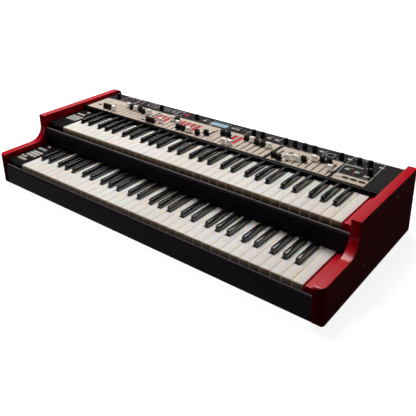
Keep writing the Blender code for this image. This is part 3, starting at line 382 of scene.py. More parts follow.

# %% [markdown]
# ## Key plastics
# White keys are moulded in warm white plastic that lets a little light in. Subsurface scattering does
# that on the tops, with red travelling furthest, while the tops stay neutral. The tan of their edges and
# of the slits between them is painted: the side walls take a tan colour and a faint glow of their own,
# which stand in for light bounced between the keys. The fronts carry painted shade that darkens towards
# the rail, so the colour is mixed by the depth below the key's top. Sharps are glossy black with faint
# length-wise moulding lines.

# %% Ivory and ebony
IVORY = tone(236, 231, 226)
IVORY_WARM = tone(230, 223, 215)
# Painted shade on the keys' fronts: its colour just under their top and at their foot
IVORY_SHADED_FRONT = tone(196, 180, 158)
IVORY_SHADED_FOOT = tone(100, 84, 66)
IVORY_RADIUS = (1.0, 0.55, 0.30)
KEY_FRONT_DEPTH = 0.018
EBONY = tone(8, 7, 8)
EBONY_SIDE = tone(18, 16, 15)


def ivory_finish(manual):
    """Warm white, a tone different from key to key, with painted shade that darkens down the key's front.
    """
    top = MANUALS[manual][1]
    finish = Finish(
        f"ivory_{manual}", "ivory_plastic", Subsurface_Weight=0.6, Subsurface_Scale=0.008,
        Subsurface_Radius=IVORY_RADIUS, Specular_IOR_Level=0.22,
    )
    number = ((finish.along("X") - KEYS_LEFT) / WHITE_PITCH).floor()
    odd = (number * 12.9898).wave() * 0.5 + 0.5
    each = finish.mix(odd, IVORY, IVORY_WARM)
    # Painted shade: the front darkens with depth below the key's top, towards the rail
    depth = ((top - finish.along("Z")) / KEY_FRONT_DEPTH).clamped()
    face = finish.mix(depth, IVORY_SHADED_FRONT, IVORY_SHADED_FOOT)
    finish.feed("Base Color", finish.mix((depth * 9.0).clamped(), each, face))
    finish.feed("Roughness", 0.30 + 0.14 * finish.noise(35.0) + 0.04 * odd)
    finish.bump(finish.noise(500.0, 2.0), 0.03, 0.0002)


def ebony_finish():
    finish = Finish("ebony", "ebony_plastic", Specular_IOR_Level=0.3, Coat_Roughness=0.05, Coat_IOR=1.8)
    lines = finish.noise(900.0, 3.0, (1.0, 0.02, 1.0))
    finish.feed("Base Color", finish.mix(lines, EBONY, EBONY_SIDE))
    finish.feed("Roughness", 0.12 + 0.12 * lines)
    # Sheen set by face direction: faces that look sideways carry the full coat, so the sharps' sides mirror
    # the white keys beside them
    finish.feed("Coat Weight", (0.1 + abs(finish.facing("X"))).clamped())
    finish.bump(lines, 0.05, 0.0002)


for manual in MANUALS:
    ivory_finish(manual)
ebony_finish()
print("finishes with keys:", len(FINISHES))

# %% The side walls that show in the slits between keys, with painted tan, glow and shade
SLIT_PAINTED_TAN = tone(206, 182, 150)
SLIT_PAINTED_SHADE = tone(92, 74, 56)
SLIT_PAINTED_GLOW = 0.45
# How far back from the keys' front the walls carry painted tan before painted shade, and how deep the
# painted lit strip at the front is
SLIT_REACH = 0.125
SLIT_FRONT_WALL = 0.004
# The painted lit strip under the keys' tops, and the share of the painted glow that the front wall gets
SLIT_BRIGHT_DEPTH = 0.0014
SLIT_FRONT_SHARE = 0.25
# White keys from the left whose right wall faces another key
LAST_SLIT = 35.5


def slit_finish(manual):
    """Walls painted tan, with a painted glow at their top and front that stands in for light bounced
    between the keys, and painted shade further back.
    """
    finish = grained_finish(f"key_slit_{manual}", SLIT_PAINTED_TAN, 0.50, 0.02, specular=0.3)
    front, top = MANUALS[manual]
    lit_part = finish.along("Y") < front + SLIT_REACH
    near_top = lit_part * (finish.along("Z") > top - SLIT_BRIGHT_DEPTH)
    at_front = finish.along("Y") < front + SLIT_FRONT_WALL
    between_keys = finish.along("X") < KEYS_LEFT + LAST_SLIT * WHITE_PITCH
    glow = between_keys * (SLIT_FRONT_SHARE * at_front + (1 - SLIT_FRONT_SHARE) * near_top)
    # Painted glow: an emission on walls that are no lamp, along their tops and fronts
    finish.feed("Emission Color", finish.mix(glow, BLACK, SLIT_PAINTED_TAN))
    finish.feed("Emission Strength", SLIT_PAINTED_GLOW)
    # Painted shade: behind the slit's reach the walls turn dark
    finish.feed("Base Color", finish.mix(lit_part, SLIT_PAINTED_SHADE, SLIT_PAINTED_TAN))


for manual in MANUALS:
    slit_finish(manual)
print("slits are lit", SLIT_REACH * 1000, "mm far")

# %% [markdown]
# ## Small finishes
# Caps, knobs, lamps, prints, rubber, boards and bare metal each get a short finish. They differ only
# in a few numbers, so each kind is one function and a table. Brushed metal is noise drawn out along
# one axis; a circuit board is green with a tracery of copper under the coat.

# %% Plastics and prints
# Name, slot, screen colour, roughness, specular level and, where it has one, coat
PLASTICS = (
    ("cap_black", "ebony_plastic", (9, 8, 9), 0.40, 0.20),
    ("cap_white", "ivory_plastic", (246, 242, 236), 0.40, 0.20),
    ("knob_black", "black_moulding", (8, 7, 8), 0.50, 0.15),
    ("button_grey", "aluminium_sheet", (208, 202, 196), 0.45, 0.10),
    ("button_pale", "ivory_plastic", (236, 232, 226), 0.45, 0.10),
    ("button_black", "black_moulding", (14, 13, 14), 0.40, 0.20),
    ("button_red", "red_plastic", (205, 26, 30), 0.30, 0.50, 0.20),
    ("stick_red", "red_plastic", (224, 70, 84), 0.45, 0.10),
    ("stick_dark", "black_moulding", (26, 28, 27), 0.45, 0.10),
    ("print_grey", "aluminium_sheet", (172, 168, 164), 0.50, 0.30),
    ("print_pale", "ivory_plastic", (222, 215, 206), 0.50, 0.30),
    ("print_dark", "black_enamel", (44, 41, 42), 0.50, 0.30),
    ("black_rubber", "black_rubber", (22, 21, 21), 0.75, 0.20),
)
CAP_PAINTED_GLOW_COLOUR = tone(246, 238, 228)
CAP_PAINTED_GLOW = 0.16


def plain_plastic(name, slot, colour, roughness, specular, coat=0.0):
    finish = Finish(name, slot, Specular_IOR_Level=specular, Coat_Roughness=0.10)
    soft = finish.noise(120.0, 3.0)
    finish.feed("Base Color", finish.mix(soft, tone(*colour), scaled(tone(*colour), 0.86)))
    finish.feed("Roughness", roughness + 0.10 * soft)
    finish.feed("Coat Weight", coat)
    finish.bump(finish.noise(1200.0, 2.0), 0.05, 0.0001)


for row in PLASTICS:
    plain_plastic(*row)
# Painted glow: the white caps give off a little light of their own, which keeps them bright in shade
FINISHES["cap_white"].feed("Emission Color", CAP_PAINTED_GLOW_COLOUR)
FINISHES["cap_white"].feed("Emission Strength", CAP_PAINTED_GLOW)
print("plastics and prints:", len(PLASTICS))

# %% Metals, boards and lamps
ALUMINIUM = (196, 197, 199)
ALONG_X = (0.02, 1.0, 1.0)
# Name, slot, screen colour, roughness and stretch of the brushed lines
METALS = (
    ("aluminium_sheet", "aluminium_sheet", ALUMINIUM, 0.32, ALONG_X),
    ("nickel", "aluminium_sheet", (205, 203, 198), 0.20, (1.0, 1.0, 0.1)),
    ("dark_screw", "black_enamel", (70, 66, 68), 0.35, (1.0, 1.0, 1.0)),
)
LAMPS = (
    ("lamp_red", "red_plastic", (226, 52, 62)),
    ("lamp_orange", "red_plastic", (226, 120, 60)),
    ("lamp_green", "board_green", (96, 190, 96)),
)
LAMP_GLOW = 0.35
BOARD_GREEN = tone(18, 74, 44)
BOARD_TRACE = tone(64, 128, 78)


def brushed_metal(name, slot, colour, roughness, stretch):
    finish = Finish(name, slot)
    lines = finish.noise(1400.0, 4.0, stretch)
    finish.feed("Base Color", finish.mix(lines, tone(*colour), scaled(tone(*colour), 0.80)))
    finish.feed("Metallic", 1.0)
    finish.feed("Roughness", roughness + 0.18 * lines)
    finish.bump(lines, 0.08, 0.0002)
    return finish


def board_finish():
    finish = Finish("board_green", Specular_IOR_Level=0.4)
    cells = {"Vector": finish.place(), "Scale": 220.0}
    trace = (finish.add("TexVoronoi", {"distance": "MANHATTAN"}, cells) < 0.22) * 0.6
    finish.feed("Base Color", finish.mix(trace, BOARD_GREEN, BOARD_TRACE))
    finish.feed("Roughness", 0.35 + 0.2 * finish.noise(90.0))
    finish.bump(trace, 0.2, 0.0001)


def lamp_finish(name, slot, colour):
    finish = Finish(name, slot, Emission_Strength=LAMP_GLOW, Roughness=0.3)
    shade = finish.mix(finish.noise(400.0), tone(*colour), scaled(tone(*colour), 1.2, 0.03))
    finish.feed("Base Color", shade)
    finish.feed("Emission Color", shade)


for row in METALS:
    brushed_metal(*row)
board_finish()
for row in LAMPS:
    lamp_finish(*row)
print("metals and lamps:", len(METALS), len(LAMPS))

# %% The display's glass, lit from below
# The lit part in white keys from the left, and the front, middle and rear of its two bands
LIT_KEYS = (14.15, 16.45)
LIT_ROWS = (0.1060, 0.1140, 0.1265)
SEGMENT_ROWS = (0.1165, 0.1235)
# Turn of the segments' wave for each white key, the height over which it shows, and its darkness
SEGMENT_TURN, SEGMENT_LEVEL, SEGMENT_SHADE = 34.0, 0.55, 0.45
GLASS_DARK = tone(10, 10, 12)
BAND_GREY = tone(132, 132, 134)
BAND_BLUE = tone(150, 204, 228)
SEGMENT_DARK = tone(20, 34, 44)
UNLIT = tone(8, 8, 9)


def display_finish():
    """Dark glass with a grey band in front and a pale blue one behind it, crossed by dark segments."""
    finish = Finish("display_glass", Specular_IOR_Level=0.5)
    key = (finish.along("X") - KEYS_LEFT) / WHITE_PITCH
    behind = finish.along("Y") - PANEL_FRONT
    lit = key.between(*LIT_KEYS) * behind.between(LIT_ROWS[0], LIT_ROWS[2])
    segments = ((key * SEGMENT_TURN).wave() > SEGMENT_LEVEL) * behind.between(*SEGMENT_ROWS)
    band = finish.mix(behind > LIT_ROWS[1], BAND_GREY, BAND_BLUE)
    shown = finish.mix(segments * SEGMENT_SHADE, band, SEGMENT_DARK)
    finish.feed("Base Color", GLASS_DARK)
    finish.feed("Emission Color", finish.mix(lit, UNLIT, shown))
    finish.feed("Emission Strength", 0.9)
    finish.feed("Roughness", 0.10 + 0.08 * finish.noise(60.0))


display_finish()
print("finishes so far:", len(FINISHES))

# %% [markdown]
# ## Turning a bmesh into a piece
# Every piece below is shaped in a bmesh and then handed to one helper, which makes the object, its
# finishes, the body that it rides on and the nodes that it stands for. Most pieces ride on the case.
# Faces are smooth-shaded, with the edges kept sharp where two faces meet at a clear angle.

# %% From a bmesh to a piece
SHARP_EDGE = math.radians(32)


def as_object(name, shape, finishes):
    """An object at the origin with its place in its mesh, faces out."""
    bmesh.ops.remove_doubles(shape, verts=shape.verts, dist=1e-7)
    bmesh.ops.recalc_face_normals(shape, faces=shape.faces)
    mesh = bpy.data.meshes.new(name)
    shape.to_mesh(mesh)
    shape.free()
    for finish in finishes:
        mesh.materials.append(FINISHES[finish].material)
    mesh.shade_smooth()
    mesh.set_sharp_from_angle(angle=SHARP_EDGE)
    return new_object(name, mesh)


def piece(name, shape, finishes, body="case", nodes=()):
    """An object with its finishes and its body, which hides the nodes that it replaces."""
    made = as_object(name, shape, finishes)
    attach(made, body)
    if nodes:
        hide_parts(*nodes)
    return made


def absorb(target, source, finish_index=0):
    """Adds one bmesh to another and frees it. A finish index over 0 marks all of its faces."""
    if finish_index:
        for face in source.faces:
            face.material_index = finish_index
    bmesh.ops.recalc_face_normals(source, faces=source.faces)
    holder = bpy.data.meshes.new("holder")
    source.to_mesh(holder)
    source.free()
    target.from_mesh(holder)
    bpy.data.meshes.remove(holder)


print("pieces stay sharp over", round(math.degrees(SHARP_EDGE)), "degrees")

# %% Edges, and faces drawn out
def crisp_edges(shape, least):
    """Edges where two faces meet at more than an angle in radians."""
    return [edge for edge in shape.edges if edge.is_manifold and edge.calc_face_angle() > least]


def upright_edges(shape, least):
    """Edges that climb by more than a height."""
    return [edge for edge in shape.edges if abs(edge.verts[0].co.z - edge.verts[1].co.z) > least]


def edges_above(shape, height):
    """Edges with both ends above a height."""
    return [edge for edge in shape.edges if all(vert.co.z > height for vert in edge.verts)]


def soften(shape, edges, radius, segments=2):
    bmesh.ops.bevel(
        shape, geom=edges, offset=radius, segments=segments, affect="EDGES", profile=0.5, material=-1,
        clamp_overlap=True,
    )


def drawn_out(shape, faces, offset, closed=True):
    """Extrudes faces by an offset and returns the new points and faces. Where the shape is already
    closed, the old faces would be left inside it, so they go."""
    drawn = bmesh.ops.extrude_face_region(shape, geom=faces)["geom"]
    if closed:
        bmesh.ops.delete(shape, geom=faces, context="FACES_ONLY")
    points = [part for part in drawn if isinstance(part, bmesh.types.BMVert)]
    bmesh.ops.translate(shape, verts=points, vec=offset)
    return points, [part for part in drawn if isinstance(part, bmesh.types.BMFace)]


print("edges can be picked by angle, by climb and by height")

# %% Blocks and rods
AXIS_TURNS = {
    "X": Matrix.Rotation(math.pi / 2, 4, "Y"),
    "Y": Matrix.Rotation(-math.pi / 2, 4, "X"),
    "Z": Matrix(),
}


def rounded_block(low, high, radius=0.0, segments=2):
    """A box between two corners, in a bmesh of its own, with softened edges."""
    low, high = Vector(low), Vector(high)
    shape = bmesh.new()
    place = Matrix.Translation((low + high) / 2) @ Matrix.Diagonal((*(high - low), 1.0))
    bmesh.ops.create_cube(shape, size=1.0, matrix=place)
    if radius:
        soften(shape, shape.edges[:], radius, segments)
    return shape


def post(x, y, width, depth, low, high, radius=0.0):
    """A block about a point in plan, from one height to another."""
    half = Vector((width / 2, depth / 2, 0.0))
    return rounded_block(Vector((x, y, low)) - half, Vector((x, y, high)) + half, radius, 1)


def rod(start, radius, length, sides=24, axis="Z", edge=0.0, end_radius=None):
    """A cylinder or cone from a start point along an axis, in a bmesh of its own."""
    turn = AXIS_TURNS[axis]
    middle = Vector(start) + turn @ Vector((0.0, 0.0, length / 2))
    shape = bmesh.new()
    bmesh.ops.create_cone(
        shape, cap_ends=True, segments=sides, radius1=radius, radius2=end_radius or radius,
        depth=length, matrix=Matrix.Translation(middle) @ turn,
    )
    if edge:
        soften(shape, crisp_edges(shape, 0.9), edge, 2)
    return shape


print("axes of a rod:", ", ".join(AXIS_TURNS))

# %% [markdown]
# ## Dressing the case
# The cheeks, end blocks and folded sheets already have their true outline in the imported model. Its
# meshes are loose triangles, which shade in facets, so each is copied, merged and shaded smooth. A
# Weighted Normal modifier lets the large faces decide, which keeps them flat while the narrow
# chamfers along the edges turn and catch the light. The long edges of the cheeks are rounded, as
# sanding leaves them, but not the rims of their screw recesses, which are bored afterwards.

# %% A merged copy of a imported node
CHEEK_EDGE = 0.0022
# Edges this low on a cheek, or this near to a recess, stay as they are
CHEEK_FOOT = 0.02
RECESS_KEEP = 0.008
# Angle, in degrees, over which an edge of a copy stays sharp, and the same for curved sheet and rubber
FLAT_ANGLE, CURVED_ANGLE = 55, 40
RAIL_EDGE = 0.0004


def outline_edges(shape, recesses):
    """The long edges of a cheek above its foot, without the rims of its screw recesses."""
    chosen = []
    for edge in crisp_edges(shape, 1.0):
        middle = (edge.verts[0].co + edge.verts[1].co) / 2
        clear = all(math.hypot(middle.y - y, middle.z - z) > RECESS_KEEP for y, z in recesses)
        if clear and min(vert.co.z for vert in edge.verts) > CHEEK_FOOT:
            chosen.append(edge)
    return chosen


def dressed_copy(node, finish, edge=0.0, angle=FLAT_ANGLE, recesses=()):
    """A merged copy of a node, which stands for it. An edge over 0 rounds its corners, and recesses
    mark a cheek, whose outline is rounded round them."""
    shape = bmesh.new()
    shape.from_mesh(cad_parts[node].data)
    bmesh.ops.remove_doubles(shape, verts=shape.verts, dist=1e-6)
    bmesh.ops.dissolve_limit(shape, angle_limit=math.radians(0.5), verts=shape.verts, edges=shape.edges)
    if recesses:
        soften(shape, outline_edges(shape, recesses), CHEEK_EDGE, 3)
    made = piece(f"{node}_dressed", shape, [finish], nodes=[node])
    made.data.set_sharp_from_angle(angle=math.radians(angle))
    if edge:
        bevel = made.modifiers.new("soft edges", "BEVEL")
        bevel.width = edge
        bevel.segments = 2
        bevel.limit_method = "ANGLE"
        bevel.angle_limit = math.radians(30)
    weighted = made.modifiers.new("even shading", "WEIGHTED_NORMAL")
    weighted.keep_sharp = True
    return made


print(f"long edges of the cheeks are rounded by {CHEEK_EDGE * 1000:.1f} mm")

# %% The case's pieces
# Distance from a cheek's front, or from its rear where it is negative, and height above the floor
SCREW_PLACES = ((0.1776, 0.047), (-0.1174, 0.136))


def recess_places(side):
    low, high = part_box(f"{side}_cheek")
    return [(low.y + along if along > 0 else high.y + along, height) for along, height in SCREW_PLACES]


case = []
for side in ("left", "right"):
    case.append(dressed_copy(f"{side}_cheek", "red_lacquer", recesses=recess_places(side)))
for manual in MANUALS:
    case.append(dressed_copy(f"{manual}_left_end_block", "black_moulding"))
    case.append(dressed_copy(f"{manual}_right_end_block", "red_plastic"))
for rail in RAILS:
    case.append(dressed_copy(rail, f"{rail}_enamel", edge=RAIL_EDGE))
case.append(dressed_copy("rear_panel", "black_enamel"))
case.append(dressed_copy("control_panel", "charcoal_panel", angle=CURVED_ANGLE))
for corner in ("front_left", "front_right", "rear_left", "rear_right"):
    case.append(dressed_copy(f"foot_{corner}", "black_rubber", angle=CURVED_ANGLE))
print("case pieces:", len(case))

# %% Nodes that keep their own shape
# How far the mains inlet reaches into the case from the rear panel's face
INLET_DEPTH = 0.0155
ALUMINIUM_LINE = tone(160, 161, 163)


def supply_finish():
    """Folded aluminium, with the moulded inlet black where it comes through the rear panel."""
    finish = brushed_metal("power_supply_sheet", "aluminium_sheet", ALUMINIUM, 0.32, ALONG_X)
    moulded = finish.along("Y") > REAR_PANEL_FACE - INLET_DEPTH
    sheet = finish.mix(finish.noise(1400.0, 4.0, ALONG_X), tone(*ALUMINIUM), ALUMINIUM_LINE)
    finish.feed("Base Color", finish.mix(moulded, sheet, MOULDING_BLACK))
    finish.feed("Metallic", 1.0 - moulded)


supply_finish()
KEPT_NODES = {
    "bottom_pan": "aluminium_sheet", "lower_keybed": "aluminium_sheet", "upper_keybed": "aluminium_sheet",
    "power_supply": "power_supply_sheet", "panel_board": "board_green", "main_board": "board_green",
    "display_lens": "display_glass",
}
for node, finish in KEPT_NODES.items():
    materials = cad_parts[node].data.materials
    materials.clear()
    materials.append(FINISHES[finish].material)
print("kept nodes:", ", ".join(KEPT_NODES))

# %% [markdown]
# ## White keys
# A white key is a lid with a straight front skirt. Its plan steps in beside the sharps. The plan
# face is drawn down to give the body, a cut behind the front wall marks the skirt, and that strip is
# drawn down further. A 3 mm radius rounds the lip that the finger meets, and a hair of a bevel
# takes the sharpness off every other edge, so that each key catches its own line of light. Its side
# walls take the slit finish, with its painted tan and glow. The keys of an octave share a spine at the
# rear.

# %% White key plan
WHITE_HEAD_LENGTH = 0.049
HINGE_DISTANCE = 0.202
SHARP_WIDTH = 0.012
SHARP_CLEARANCE = 0.0009
SPREAD_OF_TWO = 0.0298
SPREAD_OF_THREE = 0.0566


def sharp_centres():
    """Sharps of one octave, from the octave's left edge: two about D, three about G sharp."""
    first, second = 1.5 * WHITE_PITCH, 5.0 * WHITE_PITCH
    pair = [first - SPREAD_OF_TWO / 2, first + SPREAD_OF_TWO / 2]
    return pair + [second - SPREAD_OF_THREE / 2, second, second + SPREAD_OF_THREE / 2]


def key_plan(index, top_c):
    """Plan outline of one white key from its octave's left edge and its own front. The top C has no
    sharp beside it."""
    left, right = index * WHITE_PITCH + WHITE_GAP / 2, (index + 1) * WHITE_PITCH - WHITE_GAP / 2
    room = SHARP_WIDTH / 2 + SHARP_CLEARANCE
    centres = [] if top_c else sharp_centres()
    tail_left = next((centre + room for centre in centres if abs(left - centre) < room), left)
    tail_right = next((centre - room for centre in centres if abs(right - centre) < room), right)
    notch = WHITE_HEAD_LENGTH - SHARP_CLEARANCE
    outline = [(left, 0.0), (right, 0.0)]
    if tail_right != right:
        outline += [(right, notch), (tail_right, notch)]
    outline += [(tail_right, HINGE_DISTANCE), (tail_left, HINGE_DISTANCE)]
    if tail_left != left:
        outline += [(tail_left, notch), (left, notch)]
    return outline


print("corners of each plan:", [len(key_plan(index, False)) for index in range(WHITES_PER_OCTAVE)])

# %% White key shape
WHITE_FRONT_RADIUS = 0.003
WHITE_BODY_HEIGHT = 0.014
WHITE_SKIRT_HEIGHT = 0.020
WHITE_SKIRT_WALL = 0.004
WHITE_EDGE = 0.00045
# Room for rounding, when the edges at one height are picked
HAIR = 1e-6


def white_key(outline, front, top):
    """One key as a bmesh: plan face, body, skirt, rounded lip, softened edges."""
    key = bmesh.new()
    plan = key.faces.new([key.verts.new((x, y, top)) for x, y in outline])
    drawn_out(key, [plan], (0.0, 0.0, -WHITE_BODY_HEIGHT), closed=False)
    bmesh.ops.recalc_face_normals(key, faces=key.faces)
    geometry = key.verts[:] + key.edges[:] + key.faces[:]
    cut = (0.0, front + WHITE_SKIRT_WALL, 0.0)
    bmesh.ops.bisect_plane(key, geom=geometry, plane_co=cut, plane_no=(0.0, 1.0, 0.0))
    under = [face for face in key.faces if face.normal.z < -0.9]
    strip = [face for face in under if face.calc_center_median().y < front + WHITE_SKIRT_WALL]
    drawn_out(key, strip, (0.0, 0.0, WHITE_BODY_HEIGHT - WHITE_SKIRT_HEIGHT))
    bmesh.ops.recalc_face_normals(key, faces=key.faces)
    lip = [
        edge for edge in edges_above(key, top - HAIR)
        if all(abs(vert.co.y - front) < HAIR for vert in edge.verts)
    ]
    soften(key, lip, WHITE_FRONT_RADIUS, 4)
    under_body = top - WHITE_BODY_HEIGHT + HAIR
    shown = [edge for edge in crisp_edges(key, 0.9) if max(vert.co.z for vert in edge.verts) > under_body]
    soften(key, shown, WHITE_EDGE, 2)
    # Side walls, and the bevel facets that lean towards them, take the slit finish with its painted tan and
    # glow
    for face in key.faces:
        if abs(face.normal.x) > 0.6:
            face.material_index = 1
    return key


print("height of a white key and of its front:", WHITE_BODY_HEIGHT, WHITE_SKIRT_HEIGHT)

# %% White combs, one piece an octave
SPINE_DEPTH = 0.008
SPINE_HEIGHT = 0.006
WHITE_SPINE_DROP = 0.002


def white_comb(manual, octave):
    front, top = MANUALS[manual]
    start = KEYS_LEFT + octave * OCTAVE_WIDTH
    comb = bmesh.new()
    is_last = octave == OCTAVES - 1
    for index in range(WHITES_PER_OCTAVE + is_last):
        top_c = index == WHITES_PER_OCTAVE
        outline = [(start + x, front + y) for x, y in key_plan(index, top_c)]
        absorb(comb, white_key(outline, front, top))
    name = f"{manual}_white_comb_{octave + 1}"
    low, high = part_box(name)
    spine_top = top - WHITE_SPINE_DROP
    spine_low = (low.x, high.y - SPINE_DEPTH, spine_top - SPINE_HEIGHT)
    absorb(comb, rounded_block(spine_low, (high.x, high.y, spine_top)))
    return piece(f"{name}_keys", comb, [f"ivory_{manual}", f"key_slit_{manual}"], name, [name])


white_keys = [white_comb(manual, octave) for manual in MANUALS for octave in range(OCTAVES)]
print("white combs:", len(white_keys), "faces:", sum(len(comb.data.polygons) for comb in white_keys))

# %% [markdown]
# ## Sharps
# A sharp is a tapered bar with a sloped nose. A cube gives it: the top corners move in and the front
# ones back. The bevel is wide, because a played sharp has soft edges that draw one long highlight.
# Behind each bar a shaft runs under the upper deck to the common spine.

# %% Sharp combs
SHARP_TOP_WIDTH = 0.0094
SHARP_HEIGHT = 0.011
SHARP_FRONT_SLOPE = 0.0045
SHARP_EDGE_RADIUS = 0.0013
SHAFT_WIDTH = 0.008
SHAFT_LIFT = 0.0012
SHAFT_HEIGHT = 0.0033
# The bars end just before the middle rail or the panel, whichever is nearer
MIDDLE_RAIL_AHEAD = 0.0133
SHARP_END_GAP = 0.002
SHARP_END = min(PANEL_FRONT - UPPER_FRONT, UPPER_FRONT - MIDDLE_RAIL_AHEAD - LOWER_FRONT) - SHARP_END_GAP


def sharp_bar(centre, start, end, low, high):
    bar = rounded_block((centre - SHARP_WIDTH / 2, start, low), (centre + SHARP_WIDTH / 2, end, high))
    for vert in bar.verts:
        if vert.co.z > (low + high) / 2:
            vert.co.x = centre + math.copysign(SHARP_TOP_WIDTH / 2, vert.co.x - centre)
            if vert.co.y < (start + end) / 2:
                vert.co.y += SHARP_FRONT_SLOPE
    edges = [edge for edge in bar.edges if max(vert.co.z for vert in edge.verts) > high - HAIR]
    soften(bar, edges, SHARP_EDGE_RADIUS, 3)
    return bar


def sharp_comb(manual):
    front, top = MANUALS[manual]
    node = f"{manual}_sharp_comb"
    low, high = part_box(node)
    under = top - WHITE_BODY_HEIGHT
    start, end = front + WHITE_HEAD_LENGTH, front + SHARP_END
    shaft_low = under + SHAFT_LIFT
    half = SHAFT_WIDTH / 2
    spine_low = (low.x, high.y - SPINE_DEPTH, under)
    comb = bmesh.new()
    for octave in range(OCTAVES):
        for place in sharp_centres():
            centre = KEYS_LEFT + octave * OCTAVE_WIDTH + place
            absorb(comb, sharp_bar(centre, start, end, under, top + SHARP_HEIGHT))
            far = (centre + half, high.y - SPINE_DEPTH / 4, shaft_low + SHAFT_HEIGHT)
            absorb(comb, rounded_block((centre - half, end - SPINE_DEPTH, shaft_low), far))
    absorb(comb, rounded_block(spine_low, (high.x, high.y, under + SPINE_HEIGHT)))
    return piece(f"{node}_keys", comb, ["ebony"], node, [node])


sharps = [sharp_comb(manual) for manual in MANUALS]
print("sharp combs:", [len(comb.data.polygons) for comb in sharps])

# %% [markdown]
# ## Knobs
# Each knob is a tall moulded cap on a wider skirt. Fine grips run down its side and a white line
# marks where it points. A cone with three sides to each grip is the start: every third column of
# points moves in, which flutes the side without a Boolean.

# %% Knob shape
KNOB_COUNT = 13
KNOB_RADIUS, KNOB_TOP_RADIUS = 0.0058, 0.0054
KNOB_HEIGHT = 0.015
KNOB_SKIRT_RADIUS, KNOB_SKIRT_HEIGHT = 0.0068, 0.005
KNOB_SIDES = 48
KNOB_SKIRT_EDGE, KNOB_RIM_EDGE = 0.0006, 0.0005
FLUTE_DEPTH = 0.00045
# How far the cap sinks into the skirt, and the shaft into the cap
CAP_SINK, SHAFT_SINK = 0.0002, 0.001
SHAFT_RADIUS = 0.003
POINTER_WIDTH, POINTER_RISE, POINTER_EDGE = 0.0014, 0.0004, 0.0002
# Where the line on the crown ends, and the place, depth and drop of the mark on the side
POINTER_END = 0.0052
MARK_MIDDLE, MARK_DEPTH, MARK_DROP = 0.0054, 0.0012, 0.006


def knob_cap(x, y, low, crown):
    """The fluted cone, with a rounded rim at its crown."""
    cap = rod((x, y, low), KNOB_RADIUS, crown - low, KNOB_SIDES, end_radius=KNOB_TOP_RADIUS)
    middle = Vector((x, y))
    for vert in cap.verts:
        turn = round(math.atan2(vert.co.y - y, vert.co.x - x) / (2 * math.pi / KNOB_SIDES))
        if turn % 3 == 0:
            vert.co.xy -= (vert.co.xy - middle).normalized() * FLUTE_DEPTH
    soften(cap, edges_above(cap, crown - HAIR), KNOB_RIM_EDGE, 2)
    return cap


def knob_shape(node):
    low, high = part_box(node)
    x, y = plan_middle(node)
    crown = high.z - POINTER_RISE
    base = crown - KNOB_HEIGHT
    knob = bmesh.new()
    absorb(knob, rod((x, y, low.z), SHAFT_RADIUS, base - low.z + SHAFT_SINK, 16))
    absorb(knob, rod((x, y, base), KNOB_SKIRT_RADIUS, KNOB_SKIRT_HEIGHT, 40, edge=KNOB_SKIRT_EDGE))
    absorb(knob, knob_cap(x, y, base + KNOB_SKIRT_HEIGHT - CAP_SINK, crown))
    half = POINTER_WIDTH / 2
    line = rounded_block((x - half, y, crown - POINTER_RISE), (x + half, high.y, high.z), POINTER_EDGE, 1)
    for vert in line.verts:
        vert.co.y = min(vert.co.y, y + POINTER_END)
    absorb(knob, line, 1)
    mark_top = crown - POINTER_EDGE
    mark = post(x, y + MARK_MIDDLE, POINTER_WIDTH, MARK_DEPTH, crown - MARK_DROP, mark_top, POINTER_EDGE)
    absorb(knob, mark, 1)
    return knob


for count in range(1, KNOB_COUNT + 1):
    node = f"knob_{count:02d}"
    piece(f"{node}_cap", knob_shape(node), ["knob_black", "print_pale"], node, [node])
print("knobs:", KNOB_COUNT)

# %% [markdown]
# ## Drawbar caps
# A drawbar cap flares: a narrow, slightly dished top for the fingertip, a waist, and a wide foot.
# Stacking boxes would look stepped, so one rectangle is drawn up through a list of sections, each
# with its own width and depth, and its long edges are then rounded.

# %% Drawbar cap shape
CAP_WIDTH, CAP_DEPTH, CAP_HEIGHT = 0.0156, 0.0104, 0.0125
# Height, width and depth of each section, as shares of the cap
CAP_SECTIONS = (
    (0.00, 0.97, 0.96), (0.05, 1.00, 1.00), (0.14, 1.00, 1.00), (0.24, 0.87, 0.84), (0.42, 0.79, 0.74),
    (0.58, 0.77, 0.71), (0.76, 0.81, 0.72), (0.92, 0.86, 0.76), (1.00, 0.85, 0.75),
)
CAP_TOP_INSET = 0.0011
CAP_DISH = 0.0007
CAP_EDGE = 0.0008
CAP_PANEL_GAP = 0.003
CAP_LOW = PANEL_TOP + CAP_PANEL_GAP


def sized(verts, x, y, width, depth):
    """Moves the four corners of a section to a new width and depth about its middle."""
    for vert in verts:
        vert.co.x = x + math.copysign(width / 2, vert.co.x - x)
        vert.co.y = y + math.copysign(depth / 2, vert.co.y - y)


def drawbar_cap(x, y):
    cap = bmesh.new()
    grid = bmesh.ops.create_grid(cap, x_segments=1, y_segments=1, size=0.5)["verts"]
    bmesh.ops.translate(cap, verts=grid, vec=(x, y, CAP_LOW))
    sized(grid, x, y, CAP_WIDTH, CAP_DEPTH)
    face = cap.faces[:][0]
    for (low, _, _), (high, width, depth) in zip(CAP_SECTIONS, CAP_SECTIONS[1:]):
        lift = (0.0, 0.0, (high - low) * CAP_HEIGHT)
        corners, (face,) = drawn_out(cap, [face], lift, closed=low > 0)
        sized(corners, x, y, width * CAP_WIDTH, depth * CAP_DEPTH)
    bmesh.ops.recalc_face_normals(cap, faces=cap.faces)
    soften(cap, upright_edges(cap, 1e-5) + edges_above(cap, CAP_LOW + CAP_HEIGHT - HAIR), CAP_EDGE, 2)
    crown = max(cap.faces, key=lambda face: (face.calc_center_median().z, face.calc_area()))
    bmesh.ops.inset_region(cap, faces=[crown], thickness=CAP_TOP_INSET, depth=-CAP_DISH)
    return cap


print("sections of a cap:", len(CAP_SECTIONS))

